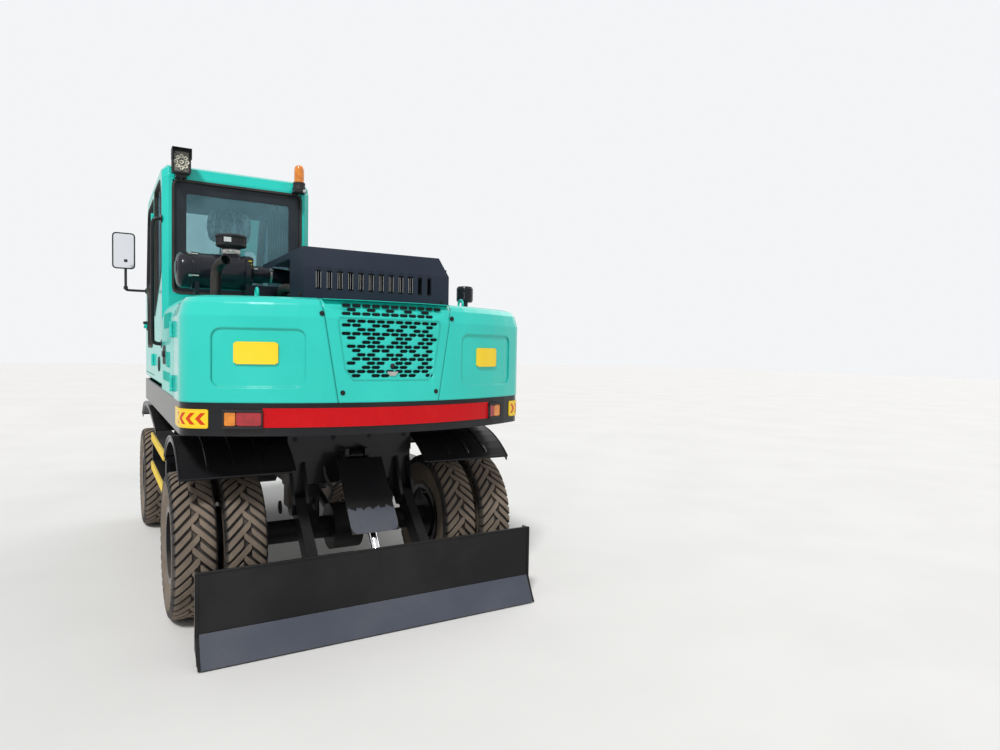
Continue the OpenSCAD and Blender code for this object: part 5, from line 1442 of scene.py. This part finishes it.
m = Shape()
for side in (1, -1):
    y = armY + side * bucket["half"]
    cutter = ((-0.078, -0.32), (-0.118, -0.88), (-0.075, -0.945), (-0.02, -0.93), (-0.045, -0.86),
              (-0.04, -0.34))
    m.prism([inBucket(*p) for p in cutter], y, y + side * 0.012)
    for z in (-0.42, -0.56, -0.7, -0.84):
        x, up = inBucket(-0.066, z)
        m.bolt((x, y + side * 0.012, up), (0, side, 0), 0.012, 0.01)
for k in range(3):
    turns = [radians(-70 + 36 * k) + radians(5.0) * i for i in range(4)]
    outer, inner = ([inBucket(bucket["round"][0] + radius * cos(a),
                              bucket["round"][1] + radius * sin(a)) for a in turns]
                    for radius in (0.357, 0.343))
    m.prism(outer + inner[::-1], -0.6, 0.12)
tooth = [inBucket(*p) for p in ((-0.112, -0.888), (-0.188, -0.9395), (-0.186, -0.9705), (-0.088, -0.9425))]
for i in range(bucket["teeth"]):
    y = armY + (i - 2) * bucket["pitch"]
    m.prism(tooth, y - 0.0302, y + 0.0302)
m.piece("bucketWear", "lipSteel", "digging_bucket", "cast_dark", bevel=0.003)
print("bucket finished")


# Engine bay seen under the hood's open left side: pipes, a bolted cover, a sensor and blank plates
m = Shape()
m.tube([(-0.62, 0.26, 1.82), (-0.6, 0.3, 1.92), (-0.68, 0.34, 1.99), (-0.86, 0.33, 2.0), (-0.98, 0.3, 1.95),
        (-1.0, 0.26, 1.82)], 0.028, 16, 5)
m.tube([(-0.8, 0.1, 1.82), (-0.8, 0.18, 1.96), (-0.86, 0.24, 2.02), (-0.98, 0.22, 2.02), (-1.06, 0.14, 1.9),
        (-1.06, 0.1, 1.82)], 0.022, 14, 5)
m.piece("enginePipes", "hoseRubber", "upper", "black_paint", smooth=50)
outline = roundedBox(-1.4, -0.2, -0.66, 0.16, 0.05)
m = Shape()
m.prism(outline, 1.815, 1.88, "Z")
m.prism(insetOutline(outline, 0.02), 1.875, 1.905, "Z")
for x in (-1.36 + k * 0.132 for k in range(6)):
    for y in (-0.175, 0.135):
        m.bolt((x, y, 1.88), (0, 0, 1), 0.008, 0.01)
for x in (-1.3 + k * 0.12 for k in range(5)):
    m.box((x, -0.12, 1.9), (x + 0.03, 0.08, 1.922))
m.lathe([(0, 0), (0.045, 0), (0.045, 0.05), (0.038, 0.058), (0, 0.058)], (-0.76, -0.02, 1.905), "Z", 28)
m.piece("engineCover", "castIron", "upper", "cast_dark", bevel=0.003)
m = Shape()
m.box((-0.797, 0.544, 2.104), (-0.755, 0.584, 2.182))
m.rod((-0.776, 0.564, 2.18), (-0.776, 0.564, 2.19), 0.011, 16)
m.rod((-0.77, 0.56, 2.085), (-0.77, 0.56, 2.106), 0.008, 12)
m.piece("airSensor", "cabPlastic", "upper", "black_paint", bevel=0.003)
m = Shape()
for z in (2.116 + k * 0.02 for k in range(3)):
    m.box((-0.7985, 0.553, z), (-0.7965, 0.575, z + 0.006))
m.piece("sensorPlate", "labelYellow", "upper", "black_paint", bevel=0.0006)
m = Shape()
m.box((-0.7935, 0.678, 2.272), (-0.7905, 0.722, 2.302))
m.piece("cleanerPlate", "blankWhite", "upper", "black_paint", bevel=0.0006)


# Seat: base, padded cushions in a clear wrap, headrest. Cushions rest where the frame's seat is.
seatSet = {"y": 0.56, "floor": 1.362, "voxel": 0.011, "pressure": 4.0, "cap": 0.014, "inset": 0.0175,
           "swell": 0.25, "cuts": 5, "frames": 12}
y, floorZ = seatSet["y"], seatSet["floor"]
# low and high corner, lean and crown
cushions = {"seatCushion": ((0.115, y - 0.222, floorZ + 0.29), (0.59, y + 0.222, floorZ + 0.392), 0.0, 0.05),
            "seatBack": ((0.112, y - 0.2, floorZ + 0.405), (0.188, y + 0.2, floorZ + 0.945), -0.16, 0.05),
            "headRest": ((0.006, y - 0.15, floorZ + 1.01), (0.096, y + 0.15, floorZ + 1.262), -0.08, 0.04)}


def pad(name, low, high, lean, crown):
    form = Shape()
    form.box(low, high)
    bmesh.ops.subdivide_edges(form.bm, edges=form.bm.edges, cuts=seatSet["cuts"], use_grid_fill=True)
    middle = (Vector(low) + Vector(high)) / 2
    half = (Vector(high) - Vector(low)) / 2
    for v in form.bm.verts:
        rel = v.co - middle
        share = Vector([rel[i] / half[i] for i in range(3)])
        for i, j, k in ((0, 1, 2), (1, 0, 2), (2, 0, 1)):
            swell = (1 - share[j] ** 2) * (1 - share[k] ** 2)
            rel[i] = share[i] * (half[i] - seatSet["inset"] * (1 - swell) + crown * seatSet["swell"] * swell)
        v.co = middle + rel
        v.co.x += (v.co.z - low[2]) * lean
    piece = placed(name, form.mesh(name))
    remesh = piece.modifiers.new("even", "REMESH")
    remesh.mode = "VOXEL"
    remesh.voxel_size = seatSet["voxel"]
    mesh = settled(piece)
    piece.modifiers.clear()
    piece.data = mesh
    cloth = piece.modifiers.new("soft", "CLOTH")
    cloth.settings.quality = 4
    cloth.settings.mass = 0.3
    cloth.settings.use_pressure = True
    cloth.settings.uniform_pressure_force = seatSet["pressure"]
    cloth.settings.effector_weights.gravity = 0
    for step in range(1, seatSet["frames"] + 1):
        bpy.context.scene.frame_set(step)
    start = [v.co.copy() for v in mesh.vertices]
    mesh = settled(piece)
    piece.modifiers.clear()
    for v, before in zip(mesh.vertices, start):
        move = v.co - before
        if move.length > seatSet["cap"]:
            v.co = before + move.normalized() * seatSet["cap"]
    piece.data = mesh
    bpy.context.scene.frame_set(1)
    bpy.data.objects.remove(piece)
    return mesh


for name, given in cushions.items():
    replaced = ("seat",) if name == "seatCushion" else ()
    piece = dress(name, pad(name, *given), "wrapFilm", "upper", replaced, smooth=80)
m = Shape()
m.box((0.17, y - 0.19, floorZ + 0.001), (0.54, y + 0.19, floorZ + 0.06))
for k in range(5):
    wide = 0.18 - 0.006 * (k % 2)
    m.box((0.355 - wide, y - wide, floorZ + 0.06 + k * 0.036),
          (0.355 + wide, y + wide, floorZ + 0.096 + k * 0.036))
m.box((0.13, y - 0.205, floorZ + 0.238), (0.575, y + 0.205, floorZ + 0.288))
for side in (-0.06, 0.06):
    m.tube([(0.048, y + side, floorZ + 0.9), (0.04, y + side, floorZ + 1.06)], 0.007, 10, 2)
m.piece("seatBase", "cabPlastic", "upper", "seat_cloth", bevel=0.006)

# Levers' boots and pads, pedals, a monitor and its stand
m = Shape()
for y in (0.26, 0.86):
    for k in range(5):
        m.lathe([(0, 0), (0.046 - k * 0.007, 0), (0.044 - k * 0.007, 0.01), (0.036 - k * 0.006, 0.013),
                 (0, 0.013)],
                (0.56, y, 1.832 + k * 0.013), "Z", 24)
    m.box((0.15, y - 0.042, 1.832), (0.42, y + 0.042, 1.872))
for y in (0.47, 0.56, 0.65):
    m.box((1.12, y - 0.032, 1.4), (1.145, y + 0.032, 1.56), (radians(-28), "Y"))
m.box((1.02, 0.16, 1.86), (1.07, 0.34, 2.0), (radians(14), "Y"))
m.tube([(1.05, 0.25, 1.9), (1.09, 0.25, 1.8), (1.1, 0.24, 1.6), (1.1, 0.24, 1.36)], 0.014, 10, 4)
m.piece("cabFittings", "cabPlastic", "upper", "cab_plastic", bevel=0.004)

# Curtain folded at the rear left post; its cloth colour is lightened to stand in for light inside the cab,
# partly painted light
folds = {"y": (0.345, 0.16), "x": -0.27, "deep": 0.016, "count": 11, "z": (1.98, 2.66), "rows": 8}
shares = [k / (folds["count"] * 8) for k in range(folds["count"] * 8 + 1)]
start, end = folds["y"]
low, high = folds["z"]
points = [(folds["x"] + folds["deep"] * sin(share * folds["count"] * 2 * pi), start + (end - start) * share)
          for share in shares]
m = Shape()
rings = []
for t in (step / folds["rows"] for step in range(folds["rows"] + 1)):
    pinch = 0.6 + 0.4 * (1 - 0.25 * sin(pi * t))
    rings.append([m.bm.verts.new((folds["x"] + (px - folds["x"]) * pinch, py,
                                  low + (high - low) * t)) for px, py in points])
for one, two in zip(rings, rings[1:]):
    for k in range(len(points) - 1):
        m.bm.faces.new((one[k], one[k + 1], two[k + 1], two[k]))
curtain = m.piece("curtain", "curtainClothAndPaintedLight", "upper", "cab_plastic", smooth=70)
curtain.modifiers.new("thick", "SOLIDIFY").thickness = 0.002
high - low

# Mirror: a rounded shell with its glass, clamps on the stay
outline = roundedBox(1.126, 2.26, 1.3, 2.568, 0.035, 6)
m = Shape()
m.skin([[(x, p, q) for p, q in insetOutline(outline, inset)]
        for inset, x in ((0.0001, 1.292), (0.0001, 1.304), (0.0101, 1.316), (0.0301, 1.322))])
m.frame(outline, insetOutline(outline, 0.009), 1.286, 1.294, "X")
for z in (2.1, 2.33):
    m.lathe([(0, -0.012), (0.017, -0.012), (0.017, 0.012), (0, 0.012)], (1.3, 1.198, z), "Z", 20)
m.lathe([(0, -0.001), (0.024, -0.001), (0.024, 0.006), (0.012, 0.01), (0, 0.01)], (1.3, 1.0405, 2.08), "Y",
        24)
m.tube([(1.3, 1.04, 2.08), (1.3, 1.17, 2.08), (1.3, 1.192, 2.086), (1.3, 1.198, 2.11), (1.3, 1.198, 2.38)],
       0.0105, 14, 5)
m.piece("mirrorShell", "cabPlastic", "upper", "cab_plastic", ("side_mirror",), smooth=35)
m = Shape()
m.prism(insetOutline(outline, 0.01), 1.2895, 1.2925, "X")
m.piece("mirrorGlass", "mirrorFace", "upper", "window_glass")

# Fuel tank: step pad with studs and the filler cap
plate, stud = Shape(), Shape()
plate.prism(roundedBox(0.775, -1.03, 1.235, -0.44, 0.03), 1.559, 1.564, "Z")
stud.lathe([(0, 0.0), (0.011, 0.0), (0.008, 0.004), (0, 0.0045)], (0, 0, 0), "Z", 10)
values = {"columns": 12, "rows": 15, "start": (0.8, -1.008, 1.564), "columnStep": (0.037, 0.0, 0.0),
          "rowStep": (0.0, 0.0385, 0.0), "oddShift": (0.0125, 0.0, 0.0)}
repeat("tankTread", "rows", stud, values, "blackPaint", "upper", plate)
m = Shape()
m.lathe([(0, 0.0), (0.06, 0.0), (0.06, 0.006), (0.052, 0.008), (0.052, 0.04), (0.046, 0.047), (0, 0.048)],
        (0.6, -0.894, 1.76), "Z", 28)
m.piece("tankCap", "cabPlastic", "upper", "black_paint", smooth=35)
print("cab and tank furnished")
